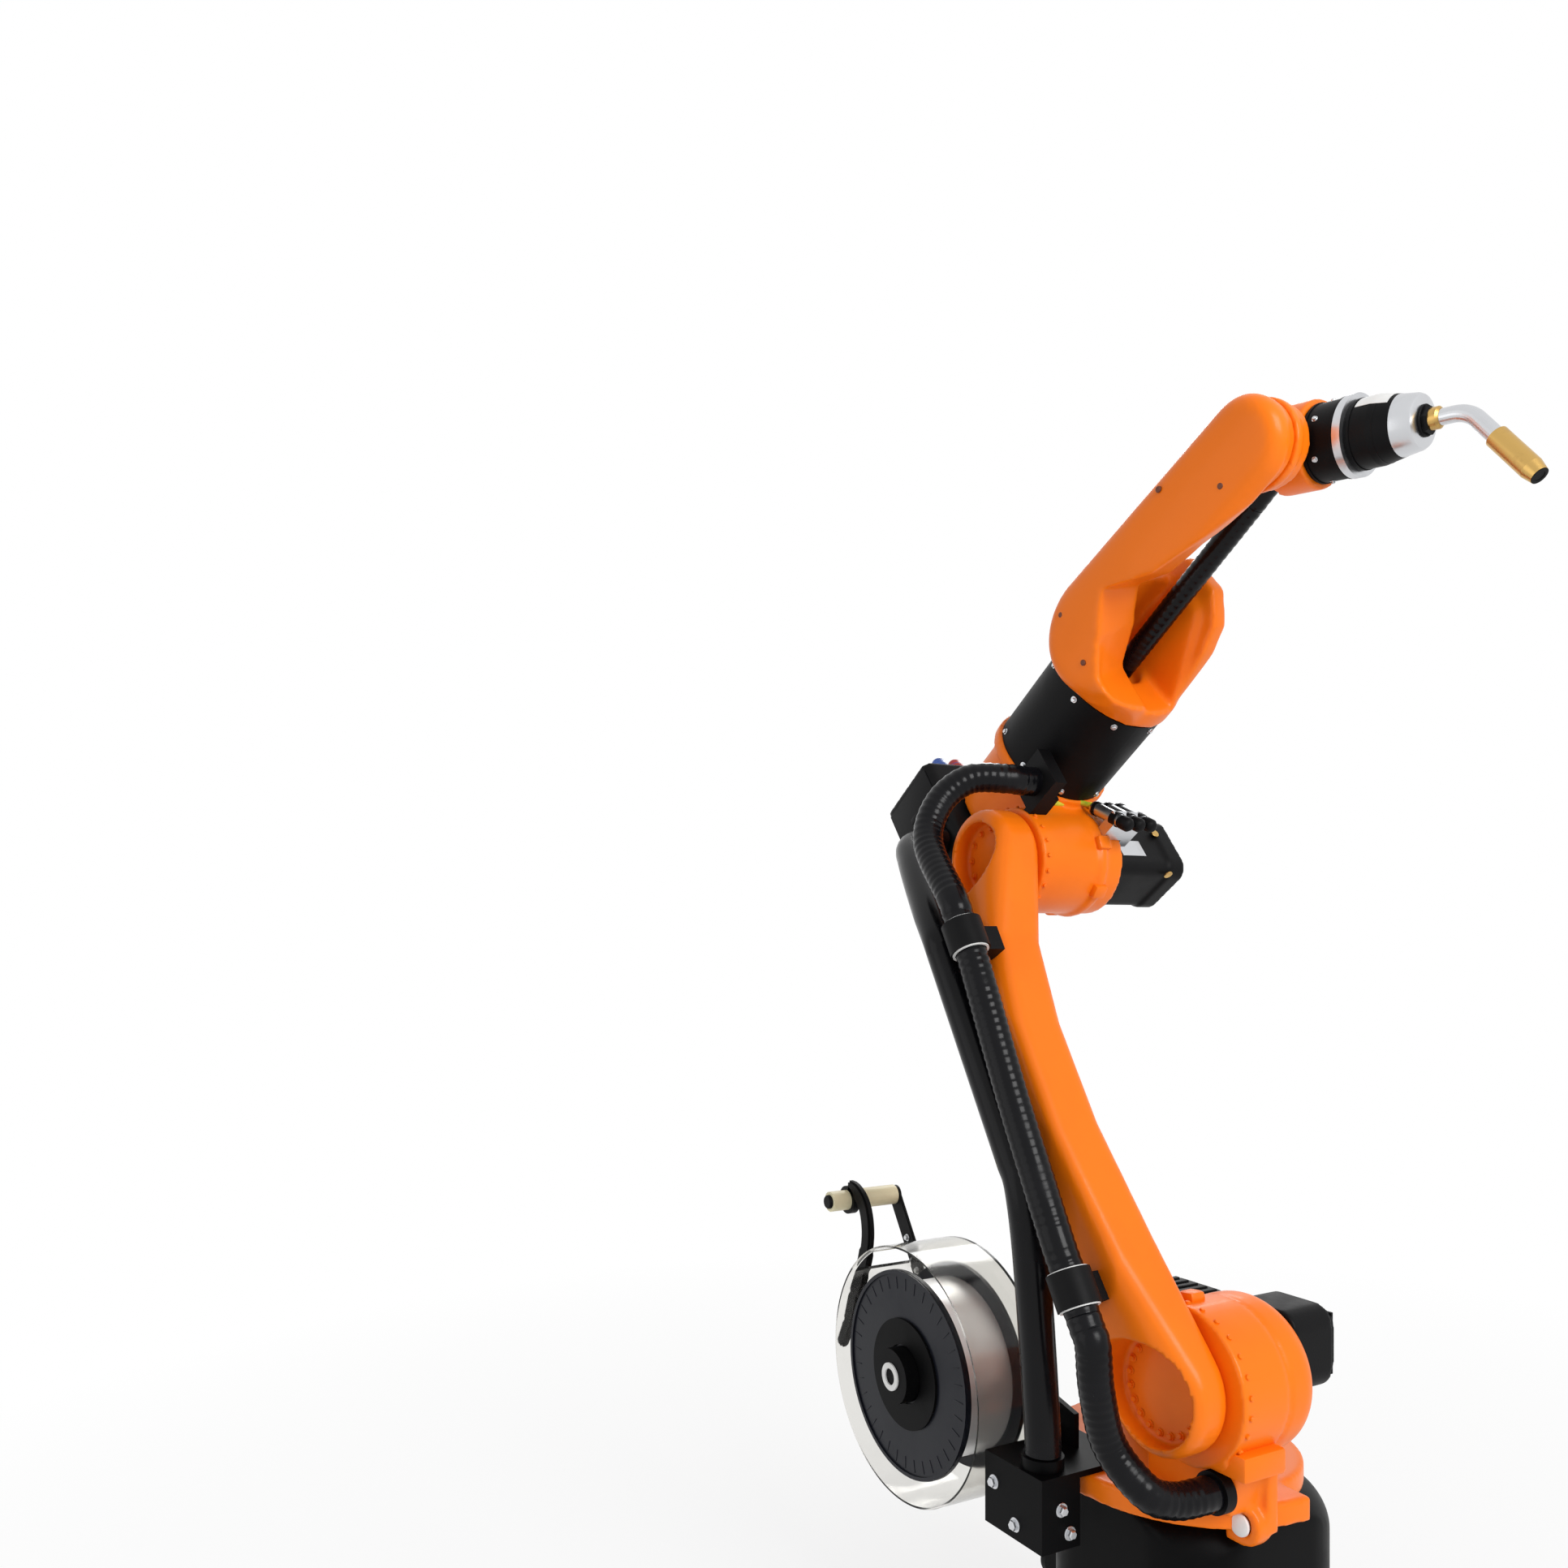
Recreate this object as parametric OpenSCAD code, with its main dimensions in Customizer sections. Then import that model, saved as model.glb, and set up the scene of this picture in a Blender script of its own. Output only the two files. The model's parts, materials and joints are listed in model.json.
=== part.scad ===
// Six-axis hollow-wrist welding robot with its wire feeder, hoses, torch and wire spool.
// Sizes are millimetres. The origin is the centre of the base flange's underside, on the slewing axis.
// +X is the way the arm reaches, +Y is the motor side, +Z is up.

/* [Base] */
// Length of the bolted flange, front to back
flange_x = 430; // [410:5:500]
// Width of the bolted flange
flange_y = 380; // [370:5:450]
// Thickness of the flange
flange_t = 25; // [15:1:40]
// Corner radius of the flange
flange_r = 60; // [45:1:80]
// Spacing of the floor bolts, front to back
bolt_x = 360; // [340:5:380]
// Spacing of the floor bolts, side to side
bolt_y = 310; // [295:5:330]
// Radius of the floor bolt holes
bolt_hole_r = 9; // [6:0.5:11]
// Length of the cast base body
base_x = 315; // [300:5:340]
// Width of the cast base body
base_y = 300; // [290:5:320]
// Corner radius of the cast base body
base_r = 90; // [60:5:110]
// Height of the cast base body
base_h = 344; // [320:2:360]
// Radius of the rounded shoulder round the top of the base
base_shoulder_r = 50; // [30:1:70]

/* [Column] */
// Radius of the slewing bearing ring on the base
slew_ring_r = 140; // [120:5:150]
// Height of the slewing bearing ring
slew_ring_h = 6; // [5:0.5:12]
// Radius of the column's foot plate
foot_r = 194; // [185:1:200]
// Thickness of the column's foot plate
foot_t = 30; // [26:1:34]
// Distance of the shoulder axis in front of the slewing axis
shoulder_x = 130; // [120:5:150]
// Height of the shoulder axis above the foot plate
shoulder_up = 148; // [142:1:165]
// Radius of the shoulder bowl
bowl_r = 99; // [95:1:103]
// Side of the bowl that the link arm turns on
bowl_face_y = -150; // [-156:1:-146]
// Other end of the bowl, where the motor sits
bowl_end_y = -8; // [-14:1:4]
// Radius of the slewing motor
slew_motor_r = 62; // [50:1:66]
// Height of the slewing motor
slew_motor_h = 185; // [150:5:220]

/* [Link arm] */
// Distance between the shoulder and elbow axes
link_len = 772; // [760:2:800]
// Backward lean of the link arm at rest
link_lean = 30; // [28:1:32]
// Radius of the lower boss
link_boss_r = 80; // [78:1:84]
// Radius of the upper boss
link_head_r = 76; // [74:1:78]
// Depth of the round recess in each boss
recess_d = 26; // [15:1:34]

/* [Arm] */
// Height of the forearm axis above the elbow axis
arm_offset = 150; // [145:1:160]
// Rise of the forearm above the horizontal at rest
arm_rise = 36; // [34:1:38]
// Radius of the elbow drum
drum_r = 80; // [76:1:84]
// Side of the drum that turns on the link arm
drum_face_y = -107; // [-112:1:-104]
// Other end of the drum, where the motor sits
drum_end_y = 48; // [44:1:60]
// Radius of the round black cover on the arm
cover_r = 92; // [88:1:95]
// Start of the cover along the forearm axis
cover_x0 = 80; // [70:1:95]
// Length of the cover
cover_len = 160; // [150:1:175]

/* [Forearm and wrist] */
// Turn of the forearm about its own axis at rest
forearm_roll = 11; // [8:1:14]
// Distance from the elbow to the wrist axis, along the forearm axis
forearm_len = 646; // [640:2:670]
// Radius of the collar that carries the forearm
collar_r = 95; // [92:1:98]
// Radius of the forearm's round tip
tip_r = 58; // [56:1:62]
// Outer side of the forearm
limb_out_y = -132; // [-134:1:-128]
// Inner side of the forearm, where the wrist sits
limb_in_y = -85; // [-90:1:-82]
// Radius of the tilting wrist ring
ring_r = 54; // [50:1:56]
// Radius of the hole through the wrist ring
ring_bore_r = 34; // [30:1:36]
// Diameter of the torch cable
torch_cable_d = 33; // [28:1:36]

/* [Torch] */
// Downward bend of the wrist at rest
wrist_bend = 42; // [38:1:46]
// Turn of the bent torch neck at rest
torch_turn = -14; // [-20:1:0]
// Distance from the wrist axis to the torch's mounting face
torch_x0 = 34; // [32:1:40]
// Radius of the torch mount
mount_r = 47; // [44:1:50]
// Length of the torch mount
mount_len = 42; // [36:1:48]
// Radius of the sleeve in front of the mount
sleeve_r = 41; // [38:1:43]
// Length of the sleeve
sleeve_len = 62; // [50:1:70]
// Length of the silver cone
cone_len = 34; // [28:1:40]
// Radius of the bent torch neck
neck_r = 9.5; // [8:0.5:11]
// Bend of the torch neck, downward
neck_bend = 46; // [38:1:52]
// Radius of the nozzle
nozzle_r = 12.5; // [11:0.5:14]
// Length of the nozzle
nozzle_len = 74; // [60:1:90]

/* [Wire feeder] */
// Length of the feeder box
feeder_x = 138; // [130:2:150]
// Width of the feeder box
feeder_y = 185; // [170:5:190]
// Height of the feeder box
feeder_z = 175; // [160:5:190]

/* [Wire spool] */
// Radius of the spool's flanges
spool_r = 150; // [140:1:152]
// Width of the spool
spool_w = 103; // [95:1:105]
// Radius of the wire on the spool
winding_r = 128; // [100:1:135]
// Radius of the clear spool cover
spool_cover_r = 186; // [180:1:188]
// Distance of the spool's axis behind the slewing axis
spool_back = 288; // [286:1:310]
// Height of the spool's axis above the floor
spool_z = 435; // [432:1:450]

/* [Hoses] */
// Outside diameter of the robot's main hose
hose_d = 44; // [40:1:46]
// Outside diameter of the feeder's hose
feeder_hose_d = 48; // [42:1:48]

/* [Hidden] */
// Running gap between faces that turn on each other
seat_gap = 0.3;
// Sides of a swept hose
hose_sides = 12;
// Fineness of the round ends of cast parts
cast_fn = 32;

foot_z = base_h + slew_ring_h;
foot_top = foot_z + foot_t;
shoulder_z = foot_top + shoulder_up;
shoulder = [shoulder_x, 0, shoulder_z];
link_in_y = bowl_face_y - seat_gap;
head_in_y = drum_face_y - seat_gap;
collar_x0 = cover_x0 + cover_len + seat_gap;
wrist_in_y = limb_in_y + seat_gap;
mount_x0 = torch_x0 + seat_gap;
sleeve_x0 = mount_x0 + mount_len;
cone_x0 = sleeve_x0 + sleeve_len;
neck_x0 = cone_x0 + cone_len;

// Places written in the link arm's and the arm's own directions, as points of the whole robot
function link_pt(p) = shoulder + [p.x * cos(link_lean) - p.z * sin(link_lean), p.y,
    p.x * sin(link_lean) + p.z * cos(link_lean)];
elbow = link_pt([0, 0, link_len]);
function arm_pt(p) = elbow + [p.x * cos(arm_rise) - p.z * sin(arm_rise), p.y,
    p.x * sin(arm_rise) + p.z * cos(arm_rise)];
function forearm_pt(p) = arm_pt([p.x, p.y * cos(forearm_roll) - p.z * sin(forearm_roll),
    arm_offset + p.y * sin(forearm_roll) + p.z * cos(forearm_roll)]);
function torch_pt(x) = forearm_pt([forearm_len + x * cos(wrist_bend), 0, -x * sin(wrist_bend)]);

// Spool set: the carrier plate stands behind the spool, clear of the arm's plane
carrier_t = 8;
guide_t = 6;
arm_clear = 18;
carrier_y = limb_out_y - arm_clear - guide_t - carrier_t;
spool_back_y = carrier_y - 9;
spool_front_y = spool_back_y - spool_w;
spool_axis = [-spool_back, 0, spool_z];
shelf_t = 8;
shelf_x0 = -104;
shelf_x1 = 12;
shelf_y0 = -272;
shelf_y1 = -115;
shelf_z = foot_top;
apron_drop = 88;
apron_t = 8;
apron_in_y = -208;
spindle_r = 24;
spindle_gap = 0.3;

// Shelf gland of the feeder hose, and gland of the main hose on the column
shelf_gland = [-24, -240, shelf_z + shelf_t];
gland_wall = 4;
neck_y = [-128, -56];
column_gland = [172, neck_y[0], foot_top + hose_d / 2 + gland_wall + 2];
gland_len = 16;

// Side of the feeder box that its hose enters
feeder_y0 = -118;
// Place of the feeder hose beside the link arm
feeder_hose_x = 0;
feeder_hose_y = -288;
// Place on the arm where the main hose ends in its bracket
hose_end = [110, -104, 62];
// Places of the hose clamps beside the link arm, and the ends of the straight runs
lower_clamp = [36, -295, 128];
upper_clamp = [63, -295, 602];
run_low = 96;
run_high = 640;
feeder_low = 300;
feeder_high = 612;
lead = 24;

// Hose routes; each begins and ends square to its seat
hose_low_route = [
    column_gland + [0, -gland_len - seat_gap, 0],
    column_gland + [0, -gland_len - lead, 0],
    column_gland + [-4, -76, 2],
    column_gland + [-12, -112, 18],
    link_pt([-29, -266, -46]),
    link_pt([7, -288, 14]),
    link_pt([lower_clamp.x - 1, lower_clamp.y, run_low - 1.5 * lead]),
    link_pt([lower_clamp.x, lower_clamp.y, run_low - 0.75 * lead]),
    link_pt([lower_clamp.x, lower_clamp.y, run_low])
];
hose_mid_route = [
    link_pt([lower_clamp.x, lower_clamp.y, run_low + seat_gap]),
    link_pt([lower_clamp.x, lower_clamp.y, lower_clamp.z + lead]),
    link_pt([lower_clamp.x + 4, lower_clamp.y - 3, 200]),
    link_pt([50, -299, 370]),
    link_pt([upper_clamp.x - 2, upper_clamp.y - 2, 520]),
    link_pt([upper_clamp.x, upper_clamp.y, upper_clamp.z - lead]),
    link_pt([upper_clamp.x, upper_clamp.y, run_high])
];
hose_up_route = [
    link_pt([upper_clamp.x, upper_clamp.y, run_high + seat_gap]),
    link_pt([upper_clamp.x, upper_clamp.y, run_high + lead]),
    arm_pt([32, -276, 0]),
    arm_pt([54, -246, 58]),
    arm_pt([88, -204, 78]),
    arm_pt(hose_end + [0, -2 * lead, 2]),
    arm_pt(hose_end + [0, -lead, 0]),
    arm_pt(hose_end + [0, -seat_gap, 0])
];
feeder_low_route = [
    shelf_gland + [0, 0, gland_len + seat_gap],
    shelf_gland + [0, 0, gland_len + lead],
    shelf_gland + [4, -10, 132],
    link_pt([-61, -272, 165]),
    link_pt([-20, -284, 227]),
    link_pt([feeder_hose_x, feeder_hose_y, feeder_low - lead]),
    link_pt([feeder_hose_x, feeder_hose_y, feeder_low])
];
feeder_mid_route = [
    link_pt([feeder_hose_x, feeder_hose_y, feeder_low + seat_gap]),
    link_pt([feeder_hose_x, feeder_hose_y, feeder_low + 100]),
    link_pt([feeder_hose_x, feeder_hose_y, feeder_low + 200]),
    link_pt([feeder_hose_x, feeder_hose_y, feeder_high])
];
feeder_up_route = [
    link_pt([feeder_hose_x, feeder_hose_y, feeder_high + seat_gap]),
    link_pt([feeder_hose_x, feeder_hose_y, feeder_high + lead]),
    link_pt([-26, -268, 700]),
    arm_pt([-74, -222, 46]),
    arm_pt([-98, -190, 100]),
    arm_pt([-104, feeder_y0 - lead, 122]),
    arm_pt([-104, feeder_y0 - seat_gap, 122])
];

$fn = 64;

orange = [0.93, 0.36, 0.05];
black = [0.07, 0.07, 0.08];
steel = [0.72, 0.73, 0.75];

module link_frame() translate(shoulder) rotate([0, -link_lean, 0]) children();
module arm_frame() translate(elbow) rotate([0, -arm_rise, 0]) children();
module axis4_frame() arm_frame() translate([0, 0, arm_offset]) rotate([0, 90, 0]) children();
module forearm_frame() arm_frame() translate([0, 0, arm_offset]) rotate([forearm_roll, 0, 0]) children();
module wrist_frame() forearm_frame() translate([forearm_len, 0, 0]) children();
module torch_frame() wrist_frame() rotate([0, 90 + wrist_bend, 0]) children();

// Round bar along Y, from y0 to y1
module y_bar(r, y0, y1) translate([0, y1, 0]) rotate([90, 0, 0]) cylinder(r = r, h = y1 - y0);

// Disc with rounded rims, along Y from y0 to y1
module puck(r, y0, y1, rim) {
    translate([0, y1, 0]) rotate([90, 0, 0])
        rotate_extrude($fn = cast_fn) puck_outline(r, y1 - y0, rim);
}
module puck_outline(r, h, rim) {
    steps = 4;
    polygon(concat(
        [[0, 0]],
        [for (i = [0:steps]) [r - rim + rim * sin(90 * i / steps), rim - rim * cos(90 * i / steps)]],
        [for (i = [0:steps]) [r - rim + rim * cos(90 * i / steps), h - rim + rim * sin(90 * i / steps)]],
        [[0, h]]));
}

// Flat plate with round corners, centred on the origin
module round_plate(x, y, r, h) {
    linear_extrude(h) {
        square([x - 2 * r, y], center = true);
        square([x, y - 2 * r], center = true);
        for (i = [-1, 1], j = [-1, 1])
            translate([i * (x / 2 - r), j * (y / 2 - r)]) circle(r);
    }
}

// Smooth curve through a route's points
function curve_pt(a, b, c, d, t) = 0.5 * (2 * b + (c - a) * t + (2 * a - 5 * b + 4 * c - d) * t * t
    + (3 * b - a - 3 * c + d) * t * t * t);
function curve(route, steps) = let (last = len(route) - 1) concat(
    [for (i = [0:last - 1], j = [0:steps - 1])
        curve_pt(route[max(i - 1, 0)], route[i], route[i + 1], route[min(i + 2, last)], j / steps)],
    [route[last]]);
function unit(v) = v / norm(v);
function tangents(path, from, to) = concat([from],
    [for (i = [1:len(path) - 2]) unit(path[i + 1] - path[i - 1])], [to]);
function square_to(n, t) = unit(n - t * (n * t));
function normals(tans, n, i = 0) = i == len(tans) ? [] :
    let (m = square_to(n, tans[i])) concat([m], normals(tans, m, i + 1));

// Tube of one diameter along a list of points, cut square to its end directions
module tube(path, d, sides, from, to) {
    tans = tangents(path, from, to);
    across = normals(tans, square_to(abs(tans[0].x) < 0.8 ? [1, 0, 0] : [0, 0, 1], tans[0]));
    rings = len(path);
    points = [for (i = [0:rings - 1], k = [0:sides - 1])
        let (a = 360 * k / sides)
        path[i] + d / 2 * (cos(a) * across[i] + sin(a) * cross(tans[i], across[i]))];
    walls = [for (i = [0:rings - 2], k = [0:sides - 1])
        let (a = i * sides + k, b = i * sides + (k + 1) % sides)
        [a, a + sides, b + sides, b]];
    first = [for (k = [0:sides - 1]) k];
    last = [for (k = [sides - 1:-1:0]) (rings - 1) * sides + k];
    polyhedron(points, concat(walls, [first, last]));
}
module hose(route, d) {
    last = len(route) - 1;
    tube(curve(route, 3), d, hose_sides, unit(route[1] - route[0]), unit(route[last] - route[last - 1]));
}

// Base: bolted flange, cast body with a rounded shoulder and the slewing ring
module base_frame() {
    color(black) {
        difference() {
            round_plate(flange_x, flange_y, flange_r, flange_t);
            for (i = [-1, 1], j = [-1, 1])
                translate([i * bolt_x / 2, j * bolt_y / 2, -1]) cylinder(r = bolt_hole_r, h = flange_t + 2);
        }
        intersection() {
            round_plate(base_x, base_y, base_r, base_h);
            rotate_extrude() base_shoulder();
        }
        translate([0, 0, base_h - 1]) cylinder(r = slew_ring_r, h = slew_ring_h + 1 - seat_gap);
    }
}
module base_shoulder() {
    reach = norm([base_x / 2 - base_r, base_y / 2 - base_r]) + base_r;
    square([reach - base_shoulder_r, base_h]);
    square([reach, base_h - base_shoulder_r]);
    translate([reach - base_shoulder_r, base_h - base_shoulder_r]) circle(base_shoulder_r);
}

// Connector housing on the back of the base
rear_box = [70, 120, 130];
rear_box_z = 60;
module base_rear_box() {
    socket_r = 24;
    color(black) translate([-base_x / 2 - rear_box.x, 0, rear_box_z]) {
        translate([0, -rear_box.y / 2, 0]) cube(rear_box);
        for (j = [-1, 1])
            translate([-18, j * rear_box.y / 4, rear_box.z / 2]) rotate([0, 90, 0])
                cylinder(r = socket_r, h = 19);
    }
}

// Column: foot plate, neck and the bowl that holds the shoulder gear
neck_x = [50, 185];
foot_side_y = 10;
module column() {
    color(orange) {
        translate([0, 0, foot_z]) {
            cylinder(r = slew_ring_r + 8, h = foot_t);
            intersection() {
                cylinder(r = foot_r, h = foot_t);
                translate([-foot_r, -foot_r, 0]) cube([2 * foot_r, foot_r + foot_side_y, foot_t]);
            }
        }
        hull() {
            translate([neck_x[0], neck_y[0], foot_top - 2])
                cube([neck_x[1] - neck_x[0], neck_y[1] - neck_y[0], 2]);
            translate(shoulder) y_bar(bowl_r - 12, neck_y[0], neck_y[1], $fn = cast_fn);
        }
        translate(shoulder) rotate([-90, 0, 0]) rotate_extrude() bowl_outline();
        stop_block();
        lifting_hook();
    }
}
module bowl_outline() {
    rim = 38;
    groove_y = bowl_end_y - 62;
    groove = 4;
    difference() {
        union() {
            translate([0, bowl_face_y]) square([bowl_r, bowl_end_y - rim - bowl_face_y]);
            translate([0, bowl_end_y - rim - 1]) square([bowl_r - rim, rim + 1]);
            intersection() {
                translate([bowl_r - rim, bowl_end_y - rim]) circle(rim);
                translate([0, bowl_face_y]) square([bowl_r, bowl_end_y - bowl_face_y]);
            }
        }
        translate([bowl_r, groove_y]) circle(groove);
    }
}
// End stop under the bowl, with the rib that holds it
stop_r = 15;
stop_x = 186;
stop_y = [bowl_face_y + 4, -58];
module stop_block() {
    rib_w = 20;
    translate([stop_x, 0, shoulder_z - 76]) y_bar(stop_r, stop_y[0], stop_y[1]);
    translate([stop_x - stop_r, stop_y[1] - rib_w, foot_z + 1])
        cube([2 * stop_r, rib_w, shoulder_z - 76 - foot_z]);
}
// Eye for lifting the robot, on the front of the foot plate
hook_t = 24;
hook_r = 27;
hook_hole_r = 13;
hook_at = [174, -95, foot_z + 10];
module lifting_hook() {
    shank = 26;
    translate(hook_at) rotate([-90, 0, 0]) difference() {
        union() {
            cylinder(r = hook_r, h = hook_t);
            translate([-shank, -foot_t + 8, 0]) cube([shank, foot_t - 8 + hook_r, hook_t]);
        }
        translate([0, 0, -1]) cylinder(r = hook_hole_r, h = hook_t + 2);
    }
}

// Slewing motor, upright on the foot plate behind the bowl
slew_motor_x = -85;
slew_motor_y = 62;
module slew_motor() {
    cap = 14;
    color(black) translate([slew_motor_x, slew_motor_y, foot_top]) {
        round_plate(2 * slew_motor_r, 2 * slew_motor_r, 24, slew_motor_h - cap);
        round_plate(2 * slew_motor_r - 16, 2 * slew_motor_r - 16, 20, slew_motor_h);
    }
}

// Shoulder motor on the end of the bowl
shoulder_motor_w = 106;
shoulder_motor_len = 88;
shoulder_motor_up = 26;
module shoulder_motor() {
    cap = 16;
    color(black) translate(shoulder + [0, bowl_end_y, shoulder_motor_up]) rotate([-90, 0, 0]) {
        round_plate(shoulder_motor_w, shoulder_motor_w, 26, shoulder_motor_len - cap);
        round_plate(shoulder_motor_w - 18, shoulder_motor_w - 18, 20, shoulder_motor_len);
    }
}

// Gland where the main hose enters the column
module hose_gland() {
    color(black) translate(column_gland) y_bar(hose_d / 2 + gland_wall, -gland_len, 0);
}

// Folded steel shelf on the foot plate, with an apron and the feeder hose's gland
module spool_bracket() {
    color(black) {
        translate([shelf_x0, shelf_y0, shelf_z]) cube([shelf_x1 - shelf_x0, shelf_y1 - shelf_y0, shelf_t]);
        translate([shelf_x0, shelf_y0, shelf_z - apron_drop])
            cube([shelf_x1 - shelf_x0, apron_t, apron_drop + 1]);
        translate([shelf_x1 - apron_t, shelf_y0, shelf_z - apron_drop])
            cube([apron_t, apron_in_y - shelf_y0, apron_drop + 1]);
        translate(shelf_gland) cylinder(r = feeder_hose_d / 2 + gland_wall, h = gland_len);
    }
}

// Upright plate that carries the spool, with its spindle
module spool_carrier() {
    carrier_x1 = -48;
    end_r = 60;
    color(black) {
        translate([0, carrier_y + carrier_t, 0]) rotate([90, 0, 0]) linear_extrude(carrier_t) {
            translate([-spool_back, spool_z]) circle(end_r);
            polygon([[carrier_x1, shelf_z + shelf_t], [carrier_x1, shelf_z + shelf_t + 46],
                [-spool_back, spool_z + end_r], [-spool_back, shelf_z + shelf_t]]);
        }
        translate(spool_axis) {
            y_bar(spindle_r, spool_front_y - 24, carrier_y + 1);
            y_bar(spindle_r + 14, spool_back_y + seat_gap, carrier_y + 1);
            y_bar(spindle_r + 16, spool_front_y - 26, spool_front_y - seat_gap);
        }
    }
}

// Clear drum round the spool, open at the front
module spool_cover() {
    wall = 3;
    lip = 8;
    color([0.85, 0.88, 0.9, 0.4]) translate(spool_axis) difference() {
        y_bar(spool_cover_r, spool_front_y - lip, carrier_y);
        y_bar(spool_cover_r - wall, spool_front_y - lip - 1, carrier_y - wall);
        y_bar(spindle_r + 18, carrier_y - wall - 1, carrier_y + 1);
        translate([-spool_cover_r * 0.75, spool_front_y, spool_cover_r * 0.45])
            cube([50, spool_w, spool_cover_r]);
    }
}

// Arm with the roller that leads the wire off the spool, and the lever below it
guide_foot = [-spool_back - 100, carrier_y, spool_z + 40];
guide_top = [-498, carrier_y, 650];
lever_bend = guide_top + [-44, 0, -112];
lever_tip = guide_top + [-68, 0, -236];
guide_w = 30;
module wire_guide() {
    hub = spool_axis + [-20, carrier_y, 20];
    color(black) {
        guide_strip(hub, guide_foot);
        guide_strip(guide_foot, guide_top);
        guide_strip(guide_top, lever_bend);
        guide_strip(lever_bend, lever_tip);
        translate(guide_top) y_bar(roller_pin_r, -roller_len - 6, carrier_t + 1);
        translate(guide_top) y_bar(roller_pin_r + 5, -roller_len - 6, -roller_len - seat_gap);
    }
}
module guide_strip(from, to) {
    hull() for (p = [from, to])
        translate(p) y_bar(guide_w / 2, carrier_t, carrier_t + guide_t, $fn = cast_fn);
}
roller_len = 116;
roller_r = 16;
roller_pin_r = 6;
module guide_roller() {
    color([0.93, 0.87, 0.62]) translate(guide_top) difference() {
        y_bar(roller_r, -roller_len, carrier_t - seat_gap);
        y_bar(roller_pin_r + seat_gap, -roller_len - 1, carrier_t);
    }
}

// Wire spool: hub and two flanges, turning on the spindle
module spool() {
    flange = 7;
    color(black) translate(spool_axis) difference() {
        union() {
            y_bar(spool_r, spool_front_y, spool_front_y + flange);
            y_bar(spool_r, spool_back_y - flange, spool_back_y);
            y_bar(spool_hub_r, spool_front_y, spool_back_y);
        }
        y_bar(spindle_r + spindle_gap, spool_front_y - 1, spool_back_y + 1);
    }
}
spool_hub_r = 52;
module wire_winding() {
    flange = 7;
    color(steel) translate(spool_axis) difference() {
        y_bar(winding_r, spool_front_y + flange, spool_back_y - flange);
        y_bar(spool_hub_r, spool_front_y, spool_back_y);
    }
}

// Link arm: a bowed, waisted casting between the two bosses
// Each station is height along the arm, radius, outer side and inner side
stations = [
    [0, link_boss_r, link_in_y - 55, link_in_y],
    [link_len * 0.2, 72, -246, -166],
    [link_len * 0.42, 60, -258, -176],
    [link_len * 0.62, 53, -252, -170],
    [link_len * 0.8, 52, -226, -150],
    [link_len, link_head_r, head_in_y - 60, head_in_y]
];
link_rim = 16;
module link_arm() {
    recess_r = link_boss_r - 13;
    head_recess_r = link_head_r - 20;
    color(orange) link_frame() difference() {
        for (i = [0:len(stations) - 2]) link_span(i);
        y_bar(recess_r, stations[2][2], stations[0][2] + recess_d);
        translate([0, 0, link_len]) y_bar(head_recess_r, stations[2][2], stations[5][2] + recess_d);
    }
}
module link_span(i) hull() {
    station(stations[i]);
    station(stations[i + 1]);
}
module station(s) translate([0, 0, s[0]]) puck(s[1], s[2], s[3], link_rim);

// Clamps that hold the hoses on the link arm, each with a foot cut to the spans it stands on
clamp_w = 44;
clamp_gap = 0.5;
module hose_clamp(at, span) {
    wall = 6;
    foot = [60, 60, 36];
    color(black) link_frame() difference() {
        union() {
            translate(at - [0, 0, clamp_w / 2]) cylinder(r = hose_d / 2 + wall, h = clamp_w);
            translate(at - [foot.x, 0, foot.z / 2]) cube(foot);
        }
        translate(at - [0, 0, clamp_w / 2 + 1]) cylinder(r = hose_d / 2 + clamp_gap, h = clamp_w + 2);
        translate([feeder_hose_x, feeder_hose_y, at.z - clamp_w])
            cylinder(r = feeder_hose_d / 2 + 4, h = 2 * clamp_w);
        for (i = [span, span + 1]) translate([0, -seat_gap, 0]) link_span(i);
    }
}
module lower_hose_clamp() hose_clamp(lower_clamp, 0);
module upper_hose_clamp() hose_clamp(upper_clamp, 3);

// Hose loops and straight runs
module hose_lower() color(black) hose(hose_low_route, hose_d);
module hose_mid() color(black) hose(hose_mid_route, hose_d);
module hose_upper() color(black) hose(hose_up_route, hose_d);
module feeder_hose_lower() color(black) hose(feeder_low_route, feeder_hose_d);
module feeder_hose_mid() color(black) hose(feeder_mid_route, feeder_hose_d);
module feeder_hose_upper() color(black) hose(feeder_up_route, feeder_hose_d);

// Arm housing: elbow drum and the seat of the forearm gear
housing_rear_x = -58;
module arm_housing() {
    rim_len = 20;
    color(orange) {
        arm_frame() {
            y_bar(drum_r, drum_face_y, drum_end_y);
            y_bar(drum_r + band_t, band_y[0], band_y[1]);
            hull() {
                y_bar(drum_r - 6, -70, drum_end_y - 12, $fn = cast_fn);
                translate([-20, 0, arm_offset]) rotate([0, 90, 0]) intersection() {
                    cylinder(r = cover_r - 10, h = 70, $fn = cast_fn);
                    translate([-cover_r, -cover_r, 0]) cube([2 * cover_r, cover_r + drum_end_y - 4, 70]);
                }
            }
        }
        axis4_frame() {
            translate([0, 0, housing_rear_x]) cylinder(r = cover_r - 8, h = cover_x0 - housing_rear_x);
            translate([0, 0, cover_x0 - rim_len]) cylinder(r = cover_r + 5, h = rim_len);
        }
    }
}
// Round black cover in front of the housing
module arm_cover() {
    color(black) axis4_frame() translate([0, 0, cover_x0]) cylinder(r = cover_r, h = cover_len);
}

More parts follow.
